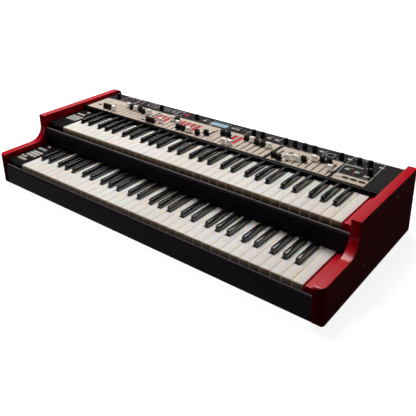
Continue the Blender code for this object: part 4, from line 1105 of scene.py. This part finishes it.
# %% Stems and sliders under the caps
STEM_WIDTH, STEM_DEPTH, STEM_EDGE = 0.0024, 0.006, 0.0002
SLIDER_WIDTH, SLIDER_DEPTH, SLIDER_HEIGHT, SLIDER_EDGE = 0.010, 0.014, 0.0035, 0.0003
# How far a stem reaches into its cap
STEM_SINK = 0.002
SLIDER_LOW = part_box("drawbar_1")[0].z
CAP_WORDS = {"b": "black", "w": "white"}
# Black and white caps of a set of nine, from the left
DRAWBAR_COLOURS = "bbwwbwbbw"


def add_drawbar(shape, x, y):
    """Adds one drawbar to a bmesh: the cap in the first finish, stem and slider in the second."""
    absorb(shape, drawbar_cap(x, y))
    absorb(shape, post(x, y, STEM_WIDTH, STEM_DEPTH, SLIDER_LOW, CAP_LOW + STEM_SINK, STEM_EDGE), 1)
    slider_top = SLIDER_LOW + SLIDER_HEIGHT
    absorb(shape, post(x, y, SLIDER_WIDTH, SLIDER_DEPTH, SLIDER_LOW, slider_top, SLIDER_EDGE), 1)


print(f"stems are {(CAP_LOW - SLIDER_LOW) * 1000:.1f} mm long under the caps")

# %% Sliding drawbars
sliding = {f"drawbar_{count}": colour for count, colour in enumerate(DRAWBAR_COLOURS, 1)}
sliding.update({"bass_drawbar_1": "b", "bass_drawbar_2": "b"})
for node, colour in sliding.items():
    bar = bmesh.new()
    add_drawbar(bar, *plan_middle(node))
    piece(f"{node}_cap", bar, [f"cap_{CAP_WORDS[colour]}", "stick_dark"], node, [node])
print("sliding drawbars:", len(sliding))

# %% [markdown]
# ## The three preset drawbar sets
# The other twenty-seven drawbars share three nodes. Their settings are the ones that the photograph
# shows, in steps of 6.25 mm from fully in. Behind a pulled cap of the second and third sets a flat
# red stick lies open, with a dark well along its left side.

# %% Preset drawbars
DRAWBAR_PITCH = 0.0176
DRAWBAR_STEP = 0.00625
DRAWBAR_PUSHED_Y = 0.0705
# White keys from the left of each set's first drawbar, and the setting of each from 0 to 8
PRESETS = {
    "drawbar_set_1": (0.30, (7, 7, 7, 0, 1, 1, 1, 2, 1)),
    "drawbar_set_2": (7.85, (8, 8, 6, 1, 1, 4, 7, 7, 7)),
    "drawbar_set_3": (17.53, (1, 1, 8, 8, 0, 0, 1, 1, 1)),
}
TRACK_EDGE = 0.0004


def preset_places(node):
    """(X, Y, colour letter) of each drawbar of a preset set."""
    key, settings = PRESETS[node]
    x, y = on_panel(key, DRAWBAR_PUSHED_Y)
    return [
        (x + count * DRAWBAR_PITCH, y - setting * DRAWBAR_STEP, colour)
        for count, (setting, colour) in enumerate(zip(settings, DRAWBAR_COLOURS))
    ]


def preset_set(node):
    """The black caps, the white caps and the track plate that the stems of a set stand on."""
    for letter, word in CAP_WORDS.items():
        caps = bmesh.new()
        for x, y, colour in preset_places(node):
            if colour == letter:
                add_drawbar(caps, x, y)
        piece(f"{node}_{word}_caps", caps, [f"cap_{word}", "stick_dark"], nodes=[node])
    low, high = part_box(node)
    track = rounded_block(low, (high.x, high.y, low.z + SLIDER_HEIGHT), TRACK_EDGE, 1)
    piece(f"{node}_track", track, ["stick_dark"], nodes=[node])


print("preset drawbars:", sum(len(preset_places(node)) for node in PRESETS))

# %% Red sticks and dark wells
PRINT_HEIGHT = 0.00010
PRINT_SINK = 0.00005
STICK_WIDTH, STICK_HEIGHT, STICK_SINK, STICK_EDGE = 0.0066, 0.0012, 0.0005, 0.0004
STICK_REAR = 0.0815
# How far a stick runs under its cap
STICK_UNDER_CAP = 0.001
# Width of a well, its distance from the stick, and how far it runs on behind it
WELL_WIDTH, WELL_GAP, WELL_BEHIND = 0.0050, 0.0003, 0.002
# Which drawbars of a set show their red stick
RED_STICKS = {"drawbar_set_2": (1, 2, 3, 5, 6, 7, 8, 9), "drawbar_set_3": (3, 4)}


def red_sticks(node):
    """The open sticks of a set, each with a well along its left side."""
    sticks, wells = bmesh.new(), bmesh.new()
    places = preset_places(node)
    rear, high = PANEL_FRONT + STICK_REAR, PANEL_TOP + STICK_HEIGHT
    for x, y, _ in (places[count - 1] for count in RED_STICKS[node]):
        half, near = STICK_WIDTH / 2, y + CAP_DEPTH / 2 - STICK_UNDER_CAP
        low = (x - half, near, PANEL_TOP - STICK_SINK)
        absorb(sticks, rounded_block(low, (x + half, rear, high), STICK_EDGE))
        side = x - half - WELL_GAP
        low = (side - WELL_WIDTH, near, PANEL_TOP - PRINT_SINK)
        absorb(wells, rounded_block(low, (side, rear + WELL_BEHIND, PANEL_TOP + PRINT_HEIGHT)))
    piece(f"{node}_sticks", sticks, ["stick_red"])
    piece(f"{node}_wells", wells, ["stick_dark"])


for node in PRESETS:
    preset_set(node)
    if node in RED_STICKS:
        red_sticks(node)
print("preset sets:", len(PRESETS), "red sticks:", sum(len(counts) for counts in RED_STICKS.values()))

# %% [markdown]
# ## Prints, buttons and lamps on the panel
# The charcoal strip behind the drawbars is busy: outlined groups, labels, oval buttons, lamps and a
# dial round each knob. Everything printed is a strip a tenth of a millimetre thick, drawn from one
# point to another, and every list below gives its points in white keys and metres on the panel.
# Labels are plain bars, because no words can be read in the photograph.

# %% Printed outlines and dividers
OUTLINES = (
    (-0.40, 1.80, 0.1010, 0.1400), (1.85, 2.75, 0.1066, 0.1370), (3.80, 5.40, 0.1168, 0.1378),
    (6.34, 7.95, 0.1164, 0.1319), (8.10, 8.70, 0.1164, 0.1349), (8.80, 9.60, 0.1060, 0.1360),
    (29.15, 29.95, 0.1085, 0.1270),
)
LINES = (
    ((19.35, 0.0990), (19.35, 0.1320)), ((23.40, 0.1095), (23.40, 0.1434)),
    ((28.85, 0.1032), (28.85, 0.1356)), ((31.65, 0.1050), (31.65, 0.1404)),
    ((31.65, 0.1404), (34.93, 0.1404)), ((34.93, 0.1404), (35.09, 0.0459)),
    ((14.44, 0.1127), (14.77, 0.0630)), ((31.65, 0.0990), (31.83, 0.0459)),
)
LINE_WIDTH = 0.0011


def strip(shape, start, end, width, top=PANEL_TOP):
    """Adds a thin bar between two points in plan to a bmesh."""
    start, end = Vector((*start, 0.0)), Vector((*end, 0.0))
    length = (end - start).length
    bar = rounded_block((0.0, -width / 2, -PRINT_SINK), (length, width / 2, PRINT_HEIGHT))
    turn = Matrix.Rotation(math.atan2(end.y - start.y, end.x - start.x), 4, "Z")
    bar.transform(Matrix.Translation((start.x, start.y, top)) @ turn)
    absorb(shape, bar)


def panel_strip(shape, start, end, width):
    """A strip between two points that are given in white keys and metres on the panel."""
    strip(shape, on_panel(*start), on_panel(*end), width)


pale = bmesh.new()
for left, right, near, far in OUTLINES:
    corners = ((left, near), (right, near), (right, far), (left, far))
    for start, end in zip(corners, corners[1:] + corners[:1]):
        panel_strip(pale, start, end, LINE_WIDTH)
for start, end in LINES:
    panel_strip(pale, start, end, LINE_WIDTH)
piece("panel_prints_pale", pale, ["print_pale"])
print("printed outlines:", len(OUTLINES), "dividers:", len(LINES))

# %% Labels and dials
KNOB_KEYS = (-1.11, 6.51, 12.17, 20.30, 21.45, 24.38, 25.53, 26.68, 27.83, 30.85, 32.77, 33.91)
KNOB_ROW = 0.1115
FRONT_KNOB = (34.64, 0.0710)
# Left end, right end and place behind the panel's front of each label
LABEL_ROWS = (
    (0.2, 1.4, 0.1090), (0.2, 1.0, 0.1300), (4.1, 5.1, 0.1290), (6.6, 7.6, 0.1250), (12.9, 13.5, 0.1290),
    (17.1, 18.2, 0.1300), (18.5, 19.1, 0.1240), (21.8, 23.2, 0.1300), (28.1, 28.7, 0.1320),
    (31.9, 33.4, 0.1330), (32.0, 32.8, 0.0790), (33.1, 33.8, 0.0750), (34.1, 34.8, 0.0500),
    (13.9, 16.6, 0.1340),
)
LABEL_WIDTH = 0.0014
# A broad label at the right end and two short ones at the left end
BROAD_LABEL, BROAD_WIDTH = (31.70, 33.53, 0.0938), 0.0050
SHORT_LABELS, SHORT_WIDTH = ((-2.15, -1.53, 0.0215), (-1.40, -0.78, 0.0215)), 0.0022
# A dial's rays in degrees, their inner and outer radius and width, and the bar in front of the knob
DIAL_START, DIAL_TURN, DIAL_RAYS = 240, 30, 11
RAY_INNER, RAY_OUTER, RAY_WIDTH = 0.0084, 0.0108, 0.0009
DIAL_BAR_HALF, DIAL_BAR_AHEAD = 0.0055, 0.0120


def dial(shape, x, y):
    """Adds the rays round one knob and the label bar in front of it to a bmesh."""
    for count in range(DIAL_RAYS):
        turn = math.radians(DIAL_START - DIAL_TURN * count)
        ray = Vector((math.cos(turn), math.sin(turn)))
        strip(shape, Vector((x, y)) + ray * RAY_INNER, Vector((x, y)) + ray * RAY_OUTER, RAY_WIDTH)
    bar_y = y - DIAL_BAR_AHEAD
    strip(shape, (x - DIAL_BAR_HALF, bar_y), (x + DIAL_BAR_HALF, bar_y), LABEL_WIDTH)


grey = bmesh.new()
labels = [(row, LABEL_WIDTH) for row in LABEL_ROWS] + [(BROAD_LABEL, BROAD_WIDTH)]
labels += [(row, SHORT_WIDTH) for row in SHORT_LABELS]
for (left, right, behind), width in labels:
    panel_strip(grey, (left, behind), (right, behind), width)
dials = [on_panel(key, KNOB_ROW) for key in KNOB_KEYS] + [on_panel(*FRONT_KNOB)]
for x, y in dials:
    dial(grey, x, y)
piece("panel_prints_grey", grey, ["print_grey"])
print("labels:", len(labels), "dials:", len(dials))

# %% Dark windows between the drawbars
# Middle in white keys, then front and rear
DARK_WINDOWS = (
    (7.08, 0.0550, 0.0930), (16.15, 0.0410, 0.0850), (25.10, 0.0500, 0.0780), (26.00, 0.0560, 0.0810),
    (26.90, 0.0560, 0.0760), (31.00, 0.0590, 0.0820),
)
WINDOW_WIDTH = 0.0065
# A slanting line between the second and third sets
DARK_LINE, DARK_LINE_WIDTH = ((16.45, 0.0919), (16.90, 0.0175)), 0.0012
# Half of a drawbar's slot with room beside it, and the narrowest print worth making
SLOT_ROOM = 0.0022
LEAST_PRINT = 0.0006


def window_strips(middle):
    """(Left, right) of the parts of a window that leave the slots of the sliding drawbars free."""
    edges = [middle - WINDOW_WIDTH / 2]
    for slot in sorted(plan_middle(node)[0] for node in sliding):
        if abs(slot - middle) < WINDOW_WIDTH / 2 + SLOT_ROOM:
            edges += [slot - SLOT_ROOM, slot + SLOT_ROOM]
    edges.append(middle + WINDOW_WIDTH / 2)
    return [(left, right) for left, right in zip(edges[::2], edges[1::2]) if right - left > LEAST_PRINT]


dark = bmesh.new()
panel_strip(dark, *DARK_LINE, DARK_LINE_WIDTH)
for key, near, far in DARK_WINDOWS:
    middle, near_y = on_panel(key, near)
    for left, right in window_strips(middle):
        centre = (left + right) / 2
        strip(dark, (centre, near_y), (centre, PANEL_FRONT + far), right - left)
piece("panel_prints_dark", dark, ["print_dark"])
print("dark windows:", len(DARK_WINDOWS))

# %% Buttons
GREY_BUTTONS = (
    (16.85, 0.0230), (-1.36, 0.0760), (32.34, 0.0700), (33.40, 0.0660), (34.47, 0.0585), (13.15, 0.1180),
    (17.28, 0.1180), (17.87, 0.1180), (22.13, 0.1180), (23.11, 0.1180), (28.43, 0.1220), (31.57, 0.1210),
    (34.89, 0.1210),
)
BLACK_BUTTONS = ((-1.36, 0.0390), (6.91, 0.0230), (14.34, 0.0250), (24.43, 0.0220), (29.53, 0.1180))
WIDE_BUTTONS = {"grey": ((32.13, 0.0290),), "black": ((32.96, 0.0290), (33.79, 0.0290), (34.62, 0.0290))}
BUTTON_SIZE, WIDE_SIZE = (0.0122, 0.0060), (0.0158, 0.0080)
BUTTON_HEIGHT = 0.00135
RED_BUTTON, RED_BUTTON_SIZE = (10.30, 0.1215), (0.0093, 0.0158)
RED_BAR, RED_BAR_WIDTH = ((3.70, 0.1200), (3.70, 0.1350)), 0.0022
# How far a button, lamp or nut sinks into the face under it
SINK = 0.0002
# Rounding of a button's ends, as a share of its narrow side
ROUND_SHARE = 0.42
RIM_EDGE = 0.0004


def oval(shape, place, size, top=PANEL_TOP, height=BUTTON_HEIGHT):
    """Adds a button with round ends and a softened top to a bmesh."""
    button = post(*place, *size, top - SINK, top + height)
    soften(button, upright_edges(button, height / 2), min(size) * ROUND_SHARE, 4)
    soften(button, edges_above(button, top + height - HAIR), RIM_EDGE, 2)
    absorb(shape, button)


for word, places in (("grey", GREY_BUTTONS), ("black", BLACK_BUTTONS)):
    buttons = bmesh.new()
    for rows, size in ((places, BUTTON_SIZE), (WIDE_BUTTONS[word], WIDE_SIZE)):
        for place in rows:
            oval(buttons, on_panel(*place), size)
    piece(f"panel_buttons_{word}", buttons, [f"button_{word}"])
red = bmesh.new()
oval(red, on_panel(*RED_BUTTON), RED_BUTTON_SIZE)
panel_strip(red, *RED_BAR, RED_BAR_WIDTH)
piece("panel_button_red", red, ["button_red"])
print("small buttons:", len(GREY_BUTTONS) + len(BLACK_BUTTONS))

# %% Lamps on the panel
PANEL_LAMPS = {
    "panel_lamps_red": (
        (0.58, 0.1178), (2.24, 0.1208), (5.10, 0.1219), (7.27, 0.1195), (32.75, 0.0790), (33.2, 0.0560),
    ),
    "panel_lamp_orange": ((13.82, 0.1240),),
}
LAMP_RADIUS, LAMP_HEIGHT = 0.0014, 0.0009


def lamp(shape, place, top=PANEL_TOP):
    """Adds a small round lamp to a bmesh."""
    absorb(shape, rod((*place, top - SINK), LAMP_RADIUS, LAMP_HEIGHT, 16, edge=RIM_EDGE))


for name, places in PANEL_LAMPS.items():
    lamps = bmesh.new()
    for place in places:
        lamp(lamps, on_panel(*place))
    piece(name, lamps, [f"lamp_{name.split('_')[-1]}"])
print("panel lamps:", sum(map(len, PANEL_LAMPS.values())))

# %% [markdown]
# ## Controls beside the manuals
# The black block at the left end of each manual carries rows of small pale buttons with a label
# under each, and a lamp near the back. Rows are given in millimetres: behind the front of the keys,
# then the places along the row from the inside of the left cheek.

# %% Block buttons
BLOCK_ROWS = {
    "lower": (
        (119, (30,)), (98, (14, 26, 38)), (77, (18, 28, 38, 48)), (66, (18, 28, 38, 48)),
        (55, (18, 28, 38, 48)), (41, (14, 26)), (28, (20, 31, 42)),
    ),
    "upper": (
        (119, (37,)), (98, (18, 29, 40)), (79, (18, 29, 40, 51)), (68, (18, 29, 40, 51)),
        (57, (18, 29, 40, 51)),
    ),
}
BLOCK_LAMPS = {"lower": (22, 121), "upper": (27, 121)}
GREEN_LAMP = (12, 26)
BLOCK_BUTTON_SIZE, BLOCK_BUTTON_HEIGHT = (0.0088, 0.0050), 0.0009
BLOCK_LABEL_HALF, BLOCK_LABEL_AHEAD, BLOCK_LABEL_WIDTH = 0.0040, 0.0050, 0.0016


def on_block(along, behind, front):
    """X and Y of a point given in millimetres from the left cheek and behind the front of the keys."""
    return INNER_LEFT + along / 1000, front + behind / 1000


for manual, (front, top) in MANUALS.items():
    buttons, labels, glows = bmesh.new(), bmesh.new(), bmesh.new()
    for behind, places in BLOCK_ROWS[manual]:
        for along in places:
            x, y = on_block(along, behind, front)
            oval(buttons, (x, y), BLOCK_BUTTON_SIZE, top, BLOCK_BUTTON_HEIGHT)
            ends = [(x + half, y - BLOCK_LABEL_AHEAD) for half in (-BLOCK_LABEL_HALF, BLOCK_LABEL_HALF)]
            strip(labels, *ends, BLOCK_LABEL_WIDTH, top)
    lamp(glows, on_block(*BLOCK_LAMPS[manual], front), top)
    piece(f"{manual}_block_buttons", buttons, ["button_pale"])
    piece(f"{manual}_block_labels", labels, ["print_pale"])
    piece(f"{manual}_block_lamp", glows, ["lamp_red"])
green = bmesh.new()
lamp(green, on_block(*GREEN_LAMP, LOWER_FRONT), LOWER_TOP)
piece("lower_block_green_lamp", green, ["lamp_green"])
print("block rows:", {manual: len(rows) for manual, rows in BLOCK_ROWS.items()})

# %% [markdown]
# ## Fixings
# A dark socket-head screw sits in each recess of the cheeks. The rear panel shows the nuts of the
# six jack sockets, the blades of the mains inlet and its own two rows of screws. All of them are
# rods and blocks, and a socket is an inset of the crown that is pushed in.

# %% Cheek screws
SCREW_RADIUS, SCREW_HEIGHT, SCREW_EDGE = 0.0038, 0.0030, 0.0004
# How far the head starts inside the cheek's outer face
SCREW_SINK = 0.0039
SOCKET_INSET, SOCKET_TAPER, SOCKET_DEPTH = 0.0014, 0.0001, 0.0018


def socket_screw(x, y, z, side):
    """A screw head that looks along X, with a socket in its crown."""
    head = rod((x, y, z), SCREW_RADIUS, side * SCREW_HEIGHT, 24, "X", SCREW_EDGE)
    faces = [face for face in head.faces if face.normal.x * side > 0.99]
    crown = max(faces, key=lambda face: face.calc_area())
    bmesh.ops.inset_region(head, faces=[crown], thickness=SOCKET_INSET, depth=0.0)
    bmesh.ops.inset_region(head, faces=[crown], thickness=SOCKET_TAPER, depth=-SOCKET_DEPTH)
    return head


for side, sign in (("left", -1), ("right", 1)):
    low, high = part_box(f"{side}_cheek")
    outer = high.x if sign > 0 else low.x
    heads = bmesh.new()
    for y, height in recess_places(side):
        absorb(heads, socket_screw(outer - sign * SCREW_SINK, y, height, sign))
    piece(f"{side}_cheek_screws", heads, ["dark_screw"])
print("screws in each cheek:", len(SCREW_PLACES))

# %% Jack nuts and rear screws
JACK_COUNT = 6
JACK_PITCH = 0.024
JACK_MIDDLE = INNER_LEFT + 0.275
JACK_HEIGHT = 0.03485
NUT_RADIUS, NUT_THICKNESS, NUT_EDGE, NUT_WALL = 0.0074, 0.0022, 0.0003, 0.0016
# Places of the rear screws as shares of the panel's width, and their distance from its edges
SCREW_SHARES = (0.02, 0.26, 0.50, 0.74, 0.98)
SCREW_MARGIN = 0.010
REAR_SCREW_RADIUS, REAR_SCREW_HEIGHT, REAR_SCREW_EDGE = 0.0032, 0.0016, 0.0006

nuts = bmesh.new()
for count in range(JACK_COUNT):
    x = JACK_MIDDLE + (count - (JACK_COUNT - 1) / 2) * JACK_PITCH
    nut = rod((x, REAR_PANEL_FACE + SINK, JACK_HEIGHT), NUT_RADIUS, NUT_THICKNESS, 6, "Y", NUT_EDGE)
    faces = [face for face in nut.faces if abs(face.normal.y) > 0.99]
    bmesh.ops.inset_region(nut, faces=faces, thickness=NUT_WALL, depth=0.0)
    absorb(nuts, nut)
piece("jack_nuts", nuts, ["nickel"])
rear_screws = bmesh.new()
low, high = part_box("rear_panel")
for share in SCREW_SHARES:
    x = low.x + share * (high.x - low.x)
    for z in (low.z + SCREW_MARGIN, high.z - SCREW_MARGIN):
        start = (x, REAR_PANEL_FACE - SINK, z)
        absorb(rear_screws, rod(start, REAR_SCREW_RADIUS, REAR_SCREW_HEIGHT, 20, "Y", REAR_SCREW_EDGE))
piece("rear_screws", rear_screws, ["dark_screw"])
print("jack nuts:", JACK_COUNT, "rear screws:", 2 * len(SCREW_SHARES))

# %% Blades of the mains inlet
# Place of each blade beside and above the inlet's middle, which is this high over the supply's foot
BLADE_PLACES = ((-0.007, -0.0020), (0.0, 0.0020), (0.007, -0.0020))
INLET_MIDDLE = 0.022
BLADE_HALF_WIDTH, BLADE_HALF_HEIGHT = 0.0010, 0.0020
BLADE_LENGTH, BLADE_EDGE = 0.011, 0.0004

low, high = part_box("power_supply")
blades = bmesh.new()
for along, lift in BLADE_PLACES:
    root = Vector(((low.x + high.x) / 2 + along, high.y - INLET_DEPTH, low.z + INLET_MIDDLE + lift))
    half = Vector((BLADE_HALF_WIDTH, 0.0, BLADE_HALF_HEIGHT))
    tip = root + Vector((0.0, BLADE_LENGTH, 0.0))
    absorb(blades, rounded_block(root - half, tip + half, BLADE_EDGE, 1))
piece("inlet_pins", blades, ["nickel"])
print("blades:", len(BLADE_PLACES))

# %% [markdown]
# ## Light, floor and background
# The photograph was lit from above by one broad soft source, so faces that look up are bright and
# everything upright falls into shade. A large area light high up gives that. A weaker one behind the
# organ and one far off to its front left open the shade a little, with a dim, nearly black world.

# %% Area lights
AIM = Vector((0.0, 0.0, 0.1))
# Place, length and width, and watts
AREA_LIGHTS = {
    "overhead_softbox": ((-0.72, 0.56, 2.15), (2.0, 1.2), 63.0),
    "rear_softbox": ((-1.9, 2.4, 1.5), (3.0, 1.2), 6.5),
    "front_fill": ((-4.2, -2.6, 0.9), (2.0, 1.2), 5.0),
}
for name, (place, (length, width), watts) in AREA_LIGHTS.items():
    light = bpy.data.lights.new(name, "AREA")
    light.shape = "RECTANGLE"
    light.size, light.size_y = length, width
    light.energy = watts
    holder = new_object(name, light)
    holder.location = place
    holder.rotation_euler = (AIM - Vector(place)).to_track_quat("-Z", "Y").to_euler()
world = bpy.data.worlds.new("studio")
bpy.context.scene.world = world
world.use_nodes = True
dim = world.node_tree.nodes["Background"]
dim.inputs["Color"].default_value = (0.95, 0.96, 1.0, 1.0)
dim.inputs["Strength"].default_value = 0.012
print("area lights:", len(AREA_LIGHTS))

# %% [markdown]
# ## The white ground
# The ground has to be white in the picture and in reflections, and yet throw little light on the
# organ. Light Path tells the two apart: where the camera, a reflection or glass looks, the floor
# glows white, and to other rays it is a dark grey sheet. Near the organ the glow stops just short of
# white, which leaves room for a faint shadow.

# %% Floor
FLOOR_REACH = 60.0
FLOOR_DROP = 0.0005
FLOOR_SEEN = tone(188, 188, 188)
FLOOR_BOUNCE = tone(32, 32, 32)
SHADOW_FLOOR = tone(243, 243, 243)
# Distance from the organ's middle over which the glow grows to full white
SHADOW_REACH = (0.8, 1.6)

finish = Finish("floor", Specular_IOR_Level=0.0, Roughness=0.9, Emission_Strength=1.0)
by_camera, by_mirror, by_glass = (
    finish.add("LightPath", {}, {}, f"Is {kind} Ray") for kind in ("Camera", "Glossy", "Transmission")
)
seen = (by_camera + by_mirror + by_glass).clamped()
away = finish.add("VectorMath", {"operation": "LENGTH"}, {0: finish.place()}, "Value")
far = ((away - SHADOW_REACH[0]) / (SHADOW_REACH[1] - SHADOW_REACH[0])).clamped()
finish.feed("Base Color", finish.mix(by_camera, FLOOR_BOUNCE, FLOOR_SEEN))
glow = finish.mix(far, SHADOW_FLOOR, WHITE)
finish.feed("Emission Color", finish.mix(seen, BLACK, glow))
sheet = bmesh.new()
bmesh.ops.create_grid(sheet, x_segments=1, y_segments=1, size=FLOOR_REACH)
bmesh.ops.translate(sheet, verts=sheet.verts, vec=(0.0, 0.0, -FLOOR_DROP))
floor = as_object("floor", sheet, ["floor"])
floor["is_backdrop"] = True
bpy.context.scene.view_settings.view_transform = "Standard"
print("floor reaches", FLOOR_REACH, "m each way")

# %% [markdown]
# ## Closing
# The box of the imported model and the box of the dressed one are printed side by side, as the moves
# of their corners.

# %% Sizes
final_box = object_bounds()
for word, before, after in zip(("low", "high"), CAD_BOX, final_box):
    print(word, "corner moves by", [round(b - a, 5) for a, b in zip(before, after)])
